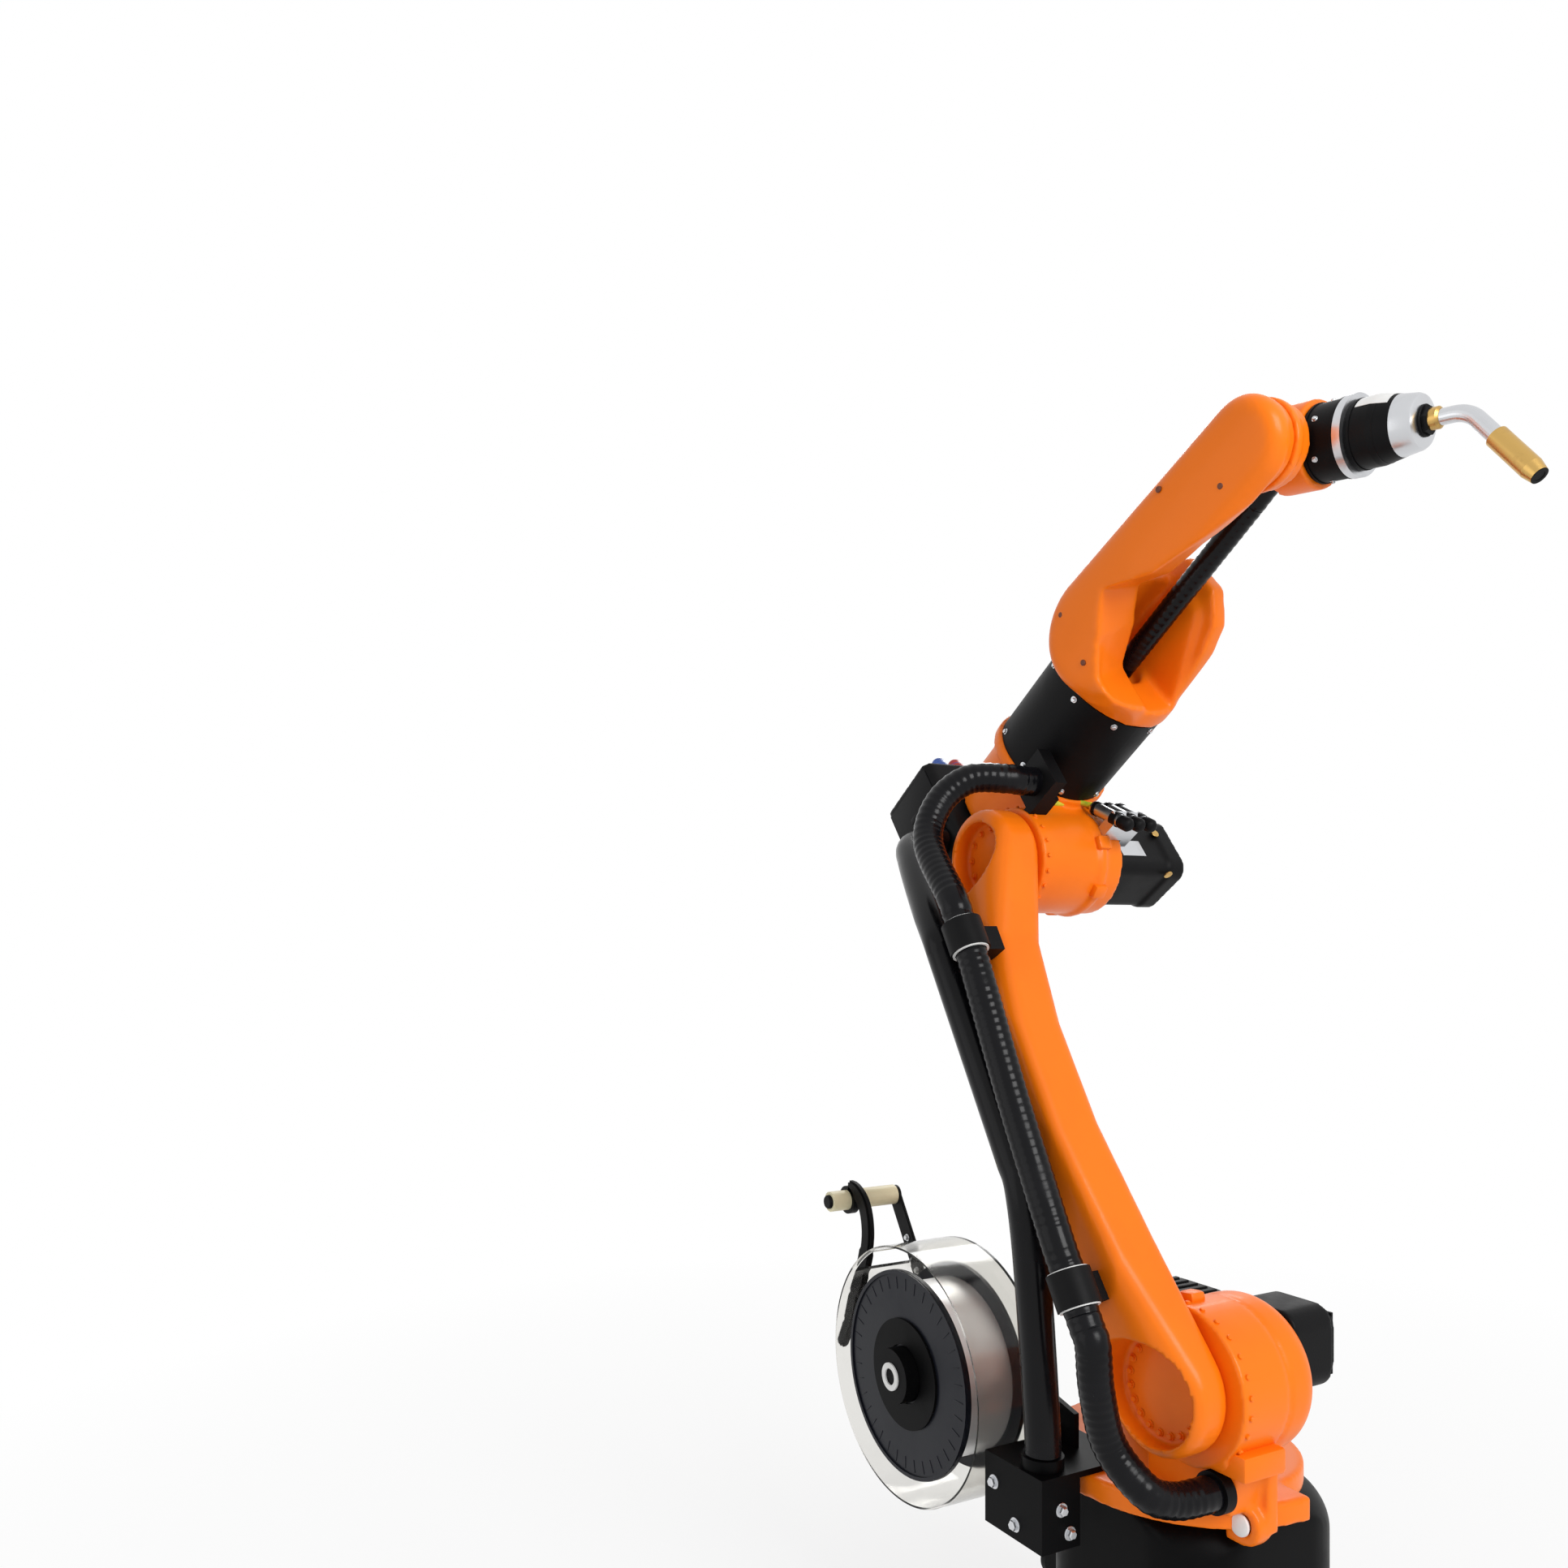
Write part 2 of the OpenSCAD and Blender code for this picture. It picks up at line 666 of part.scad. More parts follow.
// Elbow motor on the end of the drum
elbow_motor_w = 112;
elbow_motor_len = 142;
module elbow_motor() {
    cap = 30;
    color(black) arm_frame() translate([0, drum_end_y, 0]) rotate([-90, 0, 0]) {
        round_plate(elbow_motor_w - 8, elbow_motor_w - 8, 18, elbow_motor_len - cap);
        translate([0, 0, elbow_motor_len - cap]) round_plate(elbow_motor_w, elbow_motor_w, 24, cap);
    }
}

// Block and strap that hold the main hose above the drum
module hose_bracket() {
    block = [72, 22, 66];
    strap = [72, 32, 14];
    color(black) arm_frame() difference() {
        translate(hose_end) union() {
            translate([-block.x / 2, 0, -block.z / 2]) cube(block);
            translate([-strap.x, 0, -block.z / 2]) cube(strap);
        }
        y_bar(drum_r + seat_gap, drum_face_y - 1, drum_end_y + 1);
    }
}

// Plugs of the motor leads, on a rail on the drum
band_y = [drum_end_y - 46, drum_end_y - 34];
band_t = 5;
module motor_connectors() {
    plug_r = 10;
    plug_len = 62;
    rail = [60, 60, 18];
    color(steel) arm_frame() difference() {
        union() {
            for (i = [0:2])
                translate([90, 16 + 23 * i, 36]) rotate([0, 150, 0]) cylinder(r = plug_r, h = plug_len);
            translate([64, 8, -18]) cube(rail);
        }
        y_bar(drum_r + seat_gap, drum_face_y - 1, drum_end_y + 1);
        y_bar(drum_r + band_t + seat_gap, band_y[0] - seat_gap, band_y[1] + seat_gap);
    }
}

// Shelf that carries the wire feeder behind the arm
feeder_in_x = housing_rear_x - 8;
feeder_low_z = arm_offset - 62;
shelf_plate_t = 10;
module feeder_shelf() {
    color(black) arm_frame() {
        translate([feeder_in_x - feeder_x, feeder_y0, feeder_low_z - shelf_plate_t])
            cube([feeder_x, feeder_y, shelf_plate_t]);
        translate([feeder_in_x - 1, -50, feeder_low_z - shelf_plate_t])
            cube([housing_rear_x - feeder_in_x + 1, 100, shelf_plate_t]);
    }
}
module feeder_box() {
    edge = 14;
    color(black) arm_frame() translate([feeder_in_x - feeder_x / 2, feeder_y0 + feeder_y / 2, feeder_low_z])
        round_plate(feeder_x, feeder_y, edge, feeder_z);
}
// Drive motor that hangs under the feeder
feeder_motor_size = [70, 76, 92];
feeder_motor_in = 40;
module feeder_motor() {
    edge = 20;
    at = [feeder_in_x - feeder_x * 0.62, feeder_y0 + feeder_motor_in,
        feeder_low_z - shelf_plate_t - feeder_motor_size.z];
    color(black) arm_frame() translate(at)
        round_plate(feeder_motor_size.x, feeder_motor_size.y, edge, feeder_motor_size.z);
}
// Gas and water couplings on top of the feeder
module feeder_valves() {
    valve_r = 11;
    valve_h = 24;
    arm_frame() translate([feeder_in_x - 30, 0, feeder_low_z + feeder_z]) {
        color([0.1, 0.3, 0.7]) translate([0, -60, 0]) cylinder(r = valve_r, h = valve_h);
        color([0.75, 0.08, 0.08]) translate([0, -26, 0]) cylinder(r = valve_r, h = valve_h);
    }
}

// Forearm: one limb beside the torch cable, and the short hump across from it
limb_rim = 18;
// Height of the round land that the wrist turns on
land = 4;
root_r = 92;
limb_x = collar_x0 + root_r + 8;
waist_x = limb_x + (forearm_len - limb_x) * 0.5;
module forearm() {
    collar_len = 32;
    root_in_y = -56;
    hump_x = collar_x0 + 128;
    color(orange) forearm_frame() {
        translate([collar_x0, 0, 0]) rotate([0, 90, 0]) difference() {
            cylinder(r = collar_r, h = collar_len);
            translate([0, 0, cable_in_x - collar_x0]) cylinder(r = torch_cable_d / 2 + 14, h = collar_len);
        }
        hull() {
            translate([forearm_len, 0, 0]) puck(tip_r, limb_out_y, limb_in_y - land, limb_rim);
            limb_waist();
        }
        hull() {
            limb_waist();
            translate([limb_x, 0, 0]) puck(root_r, limb_out_y + 4, root_in_y, limb_rim);
        }
        hull() {
            translate([limb_x, 0, 0]) puck(root_r, limb_out_y + 4, root_in_y, limb_rim);
            collar_side(-collar_r, collar_r - 28);
        }
        translate([forearm_len, 0, 0]) y_bar(tip_r - 4, limb_in_y - land - 6, limb_in_y);
        hull() {
            translate([hump_x, 0, 0]) puck(40, 30, 68, limb_rim - 4);
            collar_side(32, collar_r);
        }
    }
}
// Narrowest part of the limb, set above the forearm axis
module limb_waist() {
    waist_r = 62;
    waist_up = 12;
    translate([waist_x, 0, waist_up]) puck(waist_r, limb_out_y, limb_in_y - land, limb_rim);
}
// Slice of the collar from one side, that the limb and the hump grow out of
module collar_side(y0, w) {
    slice = 24;
    translate([collar_x0 + 4, 0, 0]) rotate([0, 90, 0]) intersection() {
        cylinder(r = collar_r - 1, h = slice, $fn = cast_fn);
        translate([-collar_r, y0, 0]) cube([2 * collar_r, w, slice]);
    }
}

// Torch cable along the forearm axis, and the short bend into the wrist
cable_bend_x = forearm_len - 84;
cable_in_x = collar_x0 + 10;
cable_end_x = torch_x0 - 4;
module torch_cable() {
    color(black) axis4_frame() translate([0, 0, cable_in_x + seat_gap])
        cylinder(r = torch_cable_d / 2, h = cable_bend_x - cable_in_x - seat_gap);
}
module torch_cable_bend() {
    route = [forearm_pt([cable_bend_x + seat_gap, 0, 0]), forearm_pt([forearm_len - 34, 0, 0]),
        torch_pt(8), torch_pt(cable_end_x)];
    color(black) hose(route, torch_cable_d);
}

// Wrist: ring round the cable, on stepped discs
module wrist_ring() {
    back = 16;
    mouth = 9;
    disc = [tip_r - 2, ring_r - 2, 30];
    disc_y = [wrist_in_y, wrist_in_y + 13, -ring_r + 2];
    color(orange) difference() {
        union() {
            torch_frame() translate([0, 0, -back]) cylinder(r = ring_r, h = back + torch_x0);
            wrist_frame() {
                y_bar(disc[0], disc_y[0], disc_y[1]);
                y_bar(disc[1], disc_y[1] - 1, disc_y[2]);
                y_bar(disc[2], disc_y[2] - 1, -ring_bore_r + 8);
            }
        }
        torch_frame() {
            translate([0, 0, -ring_r]) cylinder(r = ring_bore_r, h = ring_r + torch_x0 + 1);
            translate([0, 0, -back - 1])
                cylinder(r1 = ring_bore_r + mouth, r2 = ring_bore_r - 3, h = back + 7);
        }
    }
}

// Torch: mount, clamp ring, sleeve, cone, bent neck and nozzle
module torch_mount() {
    color(black) torch_frame() translate([0, 0, mount_x0]) cylinder(r = mount_r, h = mount_len);
}
module torch_clamp_ring() {
    ring_w = 10;
    color(steel) torch_frame() translate([0, 0, sleeve_x0]) difference() {
        cylinder(r = mount_r + 2, h = ring_w);
        translate([0, 0, -1]) cylinder(r = sleeve_r, h = ring_w + 2);
    }
}
module torch_sleeve() {
    color(black) torch_frame() translate([0, 0, sleeve_x0]) {
        cylinder(r = sleeve_r, h = sleeve_len * 0.6);
        translate([0, 0, sleeve_len * 0.6]) cylinder(r1 = sleeve_r, r2 = sleeve_r - 5, h = sleeve_len * 0.4);
    }
}
module torch_cone() {
    color(steel) torch_frame() translate([0, 0, cone_x0]) {
        cylinder(r1 = sleeve_r - 5, r2 = 20, h = cone_len - 8);
        translate([0, 0, cone_len - 8]) cylinder(r = 18, h = 8);
    }
}
neck_straight = 24;
neck_bend_r = 40;
neck_end = 34;
// Bent tube: a straight, an arc and a second straight
neck_arc_steps = 8;
neck_arc = [for (i = [0:neck_arc_steps]) let (a = neck_bend * i / neck_arc_steps)
    [neck_bend_r - neck_bend_r * cos(a), 0, neck_straight + neck_bend_r * sin(a)]];
neck_tip = neck_arc[neck_arc_steps] + neck_end * [sin(neck_bend), 0, cos(neck_bend)];
module torch_neck() {
    color(steel) neck_frame()
        tube(concat([[0, 0, 0]], neck_arc, [neck_tip]), 2 * neck_r, 24, [0, 0, 1],
            unit(neck_tip - neck_arc[neck_arc_steps]));
}
module neck_frame() torch_frame() rotate([0, 0, torch_turn]) translate([0, 0, neck_x0]) children();
module neck_end_frame() neck_frame() translate(neck_tip) rotate([0, neck_bend, 0]) children();
module nozzle() {
    color([0.72, 0.52, 0.24]) neck_end_frame() {
        cylinder(r = nozzle_r, h = nozzle_len - 14);
        translate([0, 0, nozzle_len - 14]) cylinder(r1 = nozzle_r, r2 = nozzle_r - 2.5, h = 14);
    }
}

base_frame();
base_rear_box();
column();
slew_motor();
shoulder_motor();
hose_gland();
spool_bracket();
spool_carrier();
spool_cover();
wire_guide();
guide_roller();
spool();
wire_winding();
link_arm();
lower_hose_clamp();
upper_hose_clamp();
hose_lower();
hose_mid();
hose_upper();
feeder_hose_lower();
feeder_hose_mid();
feeder_hose_upper();
arm_housing();
arm_cover();
elbow_motor();
hose_bracket();
motor_connectors();
feeder_shelf();
feeder_box();
feeder_motor();
feeder_valves();
forearm();
torch_cable();
torch_cable_bend();
wrist_ring();
torch_mount();
torch_clamp_ring();
torch_sleeve();
torch_cone();
torch_neck();
nozzle();
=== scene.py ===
# %% [markdown]
# # A welding robot arm
# The solids come packed from CAD in metres, and this script dresses them. Most pieces that are added
# ride on one of the robot's bodies, so that they move when a joint turns.

# %% Load the imported robot
import json
import math

import bmesh
import bpy
from mathutils import Matrix, Vector


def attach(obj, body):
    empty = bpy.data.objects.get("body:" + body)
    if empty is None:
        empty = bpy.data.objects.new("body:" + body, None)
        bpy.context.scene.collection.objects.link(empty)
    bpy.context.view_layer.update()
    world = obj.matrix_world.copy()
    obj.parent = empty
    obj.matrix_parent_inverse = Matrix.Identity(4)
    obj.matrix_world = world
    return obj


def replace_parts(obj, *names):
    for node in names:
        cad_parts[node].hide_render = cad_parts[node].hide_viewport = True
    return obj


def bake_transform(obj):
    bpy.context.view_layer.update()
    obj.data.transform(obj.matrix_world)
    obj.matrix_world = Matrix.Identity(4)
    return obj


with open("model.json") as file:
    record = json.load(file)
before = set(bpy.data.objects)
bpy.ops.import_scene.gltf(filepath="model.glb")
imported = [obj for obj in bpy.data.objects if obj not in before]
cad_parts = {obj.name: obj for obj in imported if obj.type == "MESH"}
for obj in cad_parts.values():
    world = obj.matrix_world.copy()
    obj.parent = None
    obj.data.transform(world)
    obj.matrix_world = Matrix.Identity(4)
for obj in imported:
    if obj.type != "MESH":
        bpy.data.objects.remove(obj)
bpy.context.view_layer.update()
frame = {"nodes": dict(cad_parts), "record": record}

# %% [markdown]
# ## Camera
# A camera that stays level keeps upright edges upright. To show more of the robot above the horizon the
# lens is shifted up, as a view camera does, and not tilted. Focal length and horizon are in pixels of the
# photograph's square frame.

# %% Camera at the photograph's place
image_size, focal_pixels, horizon_row = 1932, 1567, 1145
sensor_mm = 36.0
link_to_scene = bpy.context.scene.collection.objects.link
camera_data = bpy.data.cameras.new("camera")
camera_data.sensor_width = sensor_mm
camera_data.lens = sensor_mm * focal_pixels / image_size
camera_data.shift_y = (horizon_row - image_size / 2) / image_size
camera = bpy.data.objects.new("camera", camera_data)
camera.location = (1.270, -1.345, 1.092)
camera.rotation_euler = Vector((-0.8746, 0.4848, 0.0)).to_track_quat("-Z", "Y").to_euler()
link_to_scene(camera)
bpy.context.scene.camera = camera
print("lens", round(camera_data.lens, 1), "mm")

# %% [markdown]
# ## Floor and light
# A pale floor takes the shadow. The world shows white to the camera, to mirrors and through clear plastic,
# and gives a softer grey light to everything else, so the background is white without over-lighting the
# paint. Large area lamps make the broad highlights that show how round the castings are.

# %% Floor
floor_half = 60
floor_mesh = bpy.data.meshes.new("floor")
floor_corners = [(i * floor_half, j * floor_half, 0) for i, j in ((-1, -1), (1, -1), (1, 1), (-1, 1))]
floor_mesh.from_pydata(floor_corners, [], [(0, 1, 2, 3)])
floor = bpy.data.objects.new("floor", floor_mesh)
link_to_scene(floor)
print("floor", 2 * floor_half, "m across")


# %% World: white where it is seen, grey as a light
def new_node(tree, kind, operation=None, **values):
    made = tree.nodes.new(kind)
    if operation:
        made.operation = operation
    for name, value in values.items():
        made.inputs[name.replace("_", " ")].default_value = value
    return made


def rays_that_see(tree):
    path = new_node(tree, "ShaderNodeLightPath")
    seen = path.outputs["Is Camera Ray"]
    for name in ("Is Glossy Ray", "Is Transmission Ray"):
        either = new_node(tree, "ShaderNodeMath", "MAXIMUM")
        tree.links.new(seen, either.inputs[0])
        tree.links.new(path.outputs[name], either.inputs[1])
        seen = either.outputs[0]
    return seen


world = bpy.data.worlds.new("studio")
bpy.context.scene.world = world
world.use_nodes = True
sky = world.node_tree
background = sky.nodes["Background"]
background.inputs["Color"].default_value = (1, 1, 1, 1)
strength = new_node(sky, "ShaderNodeMapRange", To_Min=0.5, To_Max=1.0)
sky.links.new(rays_that_see(sky), strength.inputs["Value"])
sky.links.new(strength.outputs["Result"], background.inputs["Strength"])
print("world", world.name, "has", len(sky.nodes), "nodes")


# %% Lamps
def area_lamp(name, place, target, size, power):
    data = bpy.data.lights.new(name, "AREA")
    data.size = size
    data.energy = power
    lamp = bpy.data.objects.new(name, data)
    lamp.location = place
    lamp.rotation_euler = (Vector(target) - Vector(place)).to_track_quat("-Z", "Y").to_euler()
    link_to_scene(lamp)


area_lamp("key", (3.2, -0.2, 2.7), (0, 0, 0.9), size=1.8, power=96)
area_lamp("fill", (-0.6, -3.4, 1.2), (0, 0, 0.8), size=2.4, power=12)
area_lamp("rim", (-2.6, 2.4, 3.2), (0, 0, 1.0), size=1.6, power=45)
bpy.context.scene.view_settings.view_transform = "Standard"


# %% [markdown]
# ## Shared surface effects
# Every painted or moulded face has faint cloudy soiling, a roughness that drifts, and a fine skin. One
# node group gives all three, and each material sets how strong they are. A second group draws close
# rings round an axis, for wound wire.

# %% Node group: cloudy soiling and skin
def new_group(name, inputs, outputs):
    group = bpy.data.node_groups.new(name, "ShaderNodeTree")
    for side, sockets in (("INPUT", inputs), ("OUTPUT", outputs)):
        for socket, kind in sockets.items():
            group.interface.new_socket(socket, in_out=side, socket_type="NodeSocket" + kind)
    ends = [new_node(group, kind) for kind in ("NodeGroupInput", "NodeGroupOutput", "ShaderNodeTexCoord")]
    return (group, *ends)


def make_surface_life():
    group, given, result, where = new_group(
        "surface_life",
        {"Color": "Color", "Soil": "Color", "Amount": "Float", "Scale": "Float", "Roughness": "Float"},
        {"Color": "Color", "Roughness": "Float", "Height": "Float"})
    link = group.links.new
    clouds = new_node(group, "ShaderNodeTexNoise", Detail=6.0, Roughness=0.62)
    link(where.outputs["Object"], clouds.inputs["Vector"])
    link(given.outputs["Scale"], clouds.inputs["Scale"])
    patches = new_node(group, "ShaderNodeMapRange", From_Min=0.48, From_Max=0.78)
    link(clouds.outputs["Fac"], patches.inputs["Value"])
    share = new_node(group, "ShaderNodeMath", "MULTIPLY")
    link(patches.outputs["Result"], share.inputs[0])
    link(given.outputs["Amount"], share.inputs[1])
    tint = new_node(group, "ShaderNodeMix")
    tint.data_type = "RGBA"
    link(share.outputs[0], tint.inputs["Factor"])
    link(given.outputs["Color"], tint.inputs["A"])
    link(given.outputs["Soil"], tint.inputs["B"])
    drift = new_node(group, "ShaderNodeMath", "MULTIPLY_ADD")
    rougher_by = 0.22
    drift.inputs[1].default_value = rougher_by
    link(patches.outputs["Result"], drift.inputs[0])
    link(given.outputs["Roughness"], drift.inputs[2])
    skin = new_node(group, "ShaderNodeTexNoise", Scale=420.0, Detail=2.0)
    link(where.outputs["Object"], skin.inputs["Vector"])
    link(tint.outputs["Result"], result.inputs["Color"])
    link(drift.outputs[0], result.inputs["Roughness"])
    link(skin.outputs["Fac"], result.inputs["Height"])
    return group


surface_life = make_surface_life()
print("group", surface_life.name, "has", len(surface_life.nodes), "nodes")


# %% Node group: close rings round the Y axis
def make_turned_rings():
    group, given, result, where = new_group("turned_rings", {"Rings": "Float"}, {"Height": "Float"})
    wave = new_node(group, "ShaderNodeTexWave", Distortion=0.6, Detail=2.0)
    wave.bands_direction = "Y"
    group.links.new(where.outputs["Object"], wave.inputs["Vector"])
    group.links.new(given.outputs["Rings"], wave.inputs["Scale"])
    group.links.new(wave.outputs["Fac"], result.inputs["Height"])
    return group


turned_rings = make_turned_rings()
print("group", turned_rings.name, "has", len(turned_rings.nodes), "nodes")

# %% [markdown]
# ## Finishes
# The castings are sprayed in a semi-gloss orange, so they take a clear coat. Black paint, moulded black
# plastic and rubber differ mainly in roughness, because all three are nearly the same black. Values that
# are the same all over a surface are set on the shader's own sockets.

# %% How a finish is made
coat_rough, clear_ior, bump_depth = 0.12, 1.25, 0.001


def finish(name, color, rough, soil, amount, scale, skin=0.06, rings=0.0, metallic=0.0, coat=0.0,
           glass=0.0, gloss=0.5):
    made = bpy.data.materials.new(name)
    made.use_nodes = True
    tree = made.node_tree
    shader = tree.nodes["Principled BSDF"]
    life = new_node(tree, "ShaderNodeGroup")
    life.node_tree = surface_life
    for socket, value in (("Color", (*color, 1)), ("Soil", (*soil, 1)), ("Amount", amount),
                          ("Scale", scale), ("Roughness", rough)):
        life.inputs[socket].default_value = value
    tree.links.new(life.outputs["Color"], shader.inputs["Base Color"])
    tree.links.new(life.outputs["Roughness"], shader.inputs["Roughness"])
    bump = new_node(tree, "ShaderNodeBump", Distance=bump_depth, Strength=skin)
    source = life
    if rings:
        source = new_node(tree, "ShaderNodeGroup")
        source.node_tree = turned_rings
        source.inputs["Rings"].default_value = rings
    tree.links.new(source.outputs["Height"], bump.inputs["Height"])
    tree.links.new(bump.outputs["Normal"], shader.inputs["Normal"])
    for socket, value in (("Metallic", metallic), ("Coat Weight", coat), ("Coat Roughness", coat_rough),
                          ("Specular IOR Level", gloss)):
        shader.inputs[socket].default_value = value
    if glass:
        shader.inputs["Transmission Weight"].default_value = glass
        shader.inputs["IOR"].default_value = clear_ior
    return made


# %% Paints, plastics, rubber and metals
orange_paint = finish("orange_paint", (0.91, 0.185, 0.003), 0.38, (0.66, 0.10, 0.001), 0.3, 5.0,
                      coat=0.1, gloss=0.2)
black_paint = finish("black_paint", (0.002, 0.002, 0.0023), 0.4, (0.006, 0.006, 0.0057), 0.5, 7.0,
                     gloss=0.06)
black_plastic = finish("black_plastic", (0.0035, 0.0035, 0.004), 0.45, (0.009, 0.009, 0.009), 0.45, 9.0,
                       skin=0.14, gloss=0.1)
spool_plastic = finish("spool_plastic", (0.007, 0.008, 0.013), 0.33, (0.014, 0.015, 0.02), 0.4, 9.0,
                       skin=0.1, gloss=0.2)
hose_rubber = finish("hose_rubber", (0.003, 0.003, 0.004), 0.2, (0.008, 0.008, 0.01), 0.4, 16.0,
                     gloss=0.16)
bright_steel = finish("bright_steel", (0.62, 0.63, 0.65), 0.28, (0.4, 0.4, 0.41), 0.4, 20.0, metallic=1.0)
wire_metal = finish("wire_metal", (0.88, 0.88, 0.89), 0.36, (0.7, 0.69, 0.67), 0.3, 4.0,
                    skin=0.1, rings=300.0, metallic=0.6)
nozzle_brass = finish("nozzle_brass", (0.60, 0.38, 0.12), 0.3, (0.22, 0.13, 0.05), 0.8, 30.0, metallic=1.0)
clear_plastic = finish("clear_plastic", (0.82, 0.81, 0.78), 0.08, (0.74, 0.73, 0.69), 0.4, 8.0,
                       skin=0.02, glass=1.0)
roller_nylon = finish("roller_nylon", (0.83, 0.76, 0.50), 0.42, (0.6, 0.52, 0.32), 0.5, 18.0)
blue_cap = finish("blue_cap", (0.02, 0.09, 0.42), 0.3, (0.01, 0.04, 0.2), 0.4, 20.0)
red_cap = finish("red_cap", (0.52, 0.012, 0.012), 0.3, (0.25, 0.01, 0.01), 0.4, 20.0)
pale_plastic = finish("pale_plastic", (0.80, 0.80, 0.79), 0.36, (0.55, 0.54, 0.5), 0.4, 20.0)
grey_plastic = finish("grey_plastic", (0.05, 0.052, 0.055), 0.45, (0.02, 0.02, 0.02), 0.5, 20.0, gloss=0.2)
cap_rubber = finish("cap_rubber", (0.13, 0.026, 0.004), 0.5, (0.06, 0.012, 0.002), 0.5, 20.0)
earth_lead = finish("earth_lead", (0.62, 0.60, 0.03), 0.38, (0.12, 0.35, 0.04), 0.9, 60.0)
slot_finish = {
    "orange_paint": orange_paint, "black_paint": black_paint, "black_plastic": black_plastic,
    "hose_rubber": hose_rubber, "bright_steel": bright_steel, "wire_metal": wire_metal,
    "nozzle_brass": nozzle_brass, "clear_plastic": clear_plastic, "roller_nylon": roller_nylon,
    "coupling_colours": blue_cap,
}
node_slot = {part["node"]: part["material_slot"] for part in frame["record"]["subparts"]}
for name, solid in frame["nodes"].items():
    solid.data.materials.clear()
    solid.data.materials.append(spool_plastic if name == "spool" else slot_finish[node_slot[name]])
print(len(slot_finish), "finishes on", len(frame["nodes"]), "solids")

# %% [markdown]
# ## Floor finish
# The floor is pale paint that takes the robot's shadow. So large a plane would end in a grey line at the
# horizon, so it is mixed with a plain white glow that grows with the distance. Only the camera, mirrors
# and clear plastic see the glow, so it doesn't light the robot.

# %% Pale paint that fades to white
floor_paint = finish("floor_paint", (0.86, 0.86, 0.86), 0.7, (0.84, 0.84, 0.84), 0.3, 0.8, skin=0.02)
floor.data.materials.append(floor_paint)
floor_tree = floor_paint.node_tree
floor_link = floor_tree.links.new
where = new_node(floor_tree, "ShaderNodeTexCoord")
reach = new_node(floor_tree, "ShaderNodeVectorMath", "LENGTH")
fade = new_node(floor_tree, "ShaderNodeMapRange", From_Min=0.6, From_Max=2.6, To_Min=0.72, To_Max=1.0)
share = new_node(floor_tree, "ShaderNodeMath", "MULTIPLY")
glow = new_node(floor_tree, "ShaderNodeEmission", Strength=1.0)
blend = new_node(floor_tree, "ShaderNodeMixShader")
floor_link(where.outputs["Object"], reach.inputs[0])
floor_link(reach.outputs["Value"], fade.inputs["Value"])
floor_link(fade.outputs["Result"], share.inputs[0])
floor_link(rays_that_see(floor_tree), share.inputs[1])
floor_link(share.outputs[0], blend.inputs["Fac"])
floor_link(floor_tree.nodes["Principled BSDF"].outputs["BSDF"], blend.inputs[1])
floor_link(glow.outputs["Emission"], blend.inputs[2])
floor_link(blend.outputs["Shader"], floor_tree.nodes["Material Output"].inputs["Surface"])
print("floor finish has", len(floor_tree.nodes), "nodes")


# %% [markdown]
# ## Places
# The link arm, the arm, the forearm and the torch each have their own directions. A matrix for each lets
# a detail be written in that part's own millimetres, as on its drawing.

# %% Frames of the moving parts
def turn(degrees, axis):
    return Matrix.Rotation(math.radians(degrees), 4, axis)


def shift(x, y, z):
    return Matrix.Translation(Vector((x, y, z)) / 1000)


def at(part, x, y, z):
    return part @ (Vector((x, y, z)) / 1000)


def points_on(part, *points):
    return [at(part, *point) for point in points]


def way(part, x, y, z):
    return (part.to_3x3() @ Vector((x, y, z))).normalized()


link_lean, link_length = -30, 772
arm_lean, forearm_up, forearm_roll = -36, 150, 11
forearm_length, torch_tilt, neck_roll = 646, 132, -14
robot = Matrix.Identity(4)
shoulder_frame = shift(130, 0, 528)
link_frame = shoulder_frame @ turn(link_lean, "Y")
elbow_place = at(link_frame, 0, 0, link_length)
arm_frame = Matrix.Translation(elbow_place) @ turn(arm_lean, "Y")
forearm_frame = arm_frame @ shift(0, 0, forearm_up) @ turn(forearm_roll, "X")
torch_frame = forearm_frame @ shift(forearm_length, 0, 0) @ turn(torch_tilt, "Y")
neck_frame = torch_frame @ turn(neck_roll, "Z")
print("elbow at", [round(v, 3) for v in elbow_place])


# %% [markdown]
# ## Making pieces
# A piece is a mesh built in code, shaded smooth, that rides on a body when one is given and takes a
# finish. Castings have soft edges everywhere: the solid is copied, its skin is rebuilt in small even
# cells, and a smoothing pass rounds each edge as a foundry pattern would.

# %% Helpers for new pieces and cast copies
def mesh_from(bm, name):
    mesh = bpy.data.meshes.new(name)
    bm.to_mesh(mesh)
    bm.free()
    return mesh


def add_piece(name, bm, material, body, sharp=40):
    bmesh.ops.recalc_face_normals(bm, faces=bm.faces)
    for face in bm.faces:
        face.smooth = True
    limit = math.radians(sharp)
    for edge in bm.edges:
        edge.smooth = len(edge.link_faces) == 2 and edge.calc_face_angle(0) < limit
    piece = bpy.data.objects.new(name, mesh_from(bm, name))
    piece.data.materials.append(material)
    link_to_scene(piece)
    if body:
        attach(piece, body)
    return piece


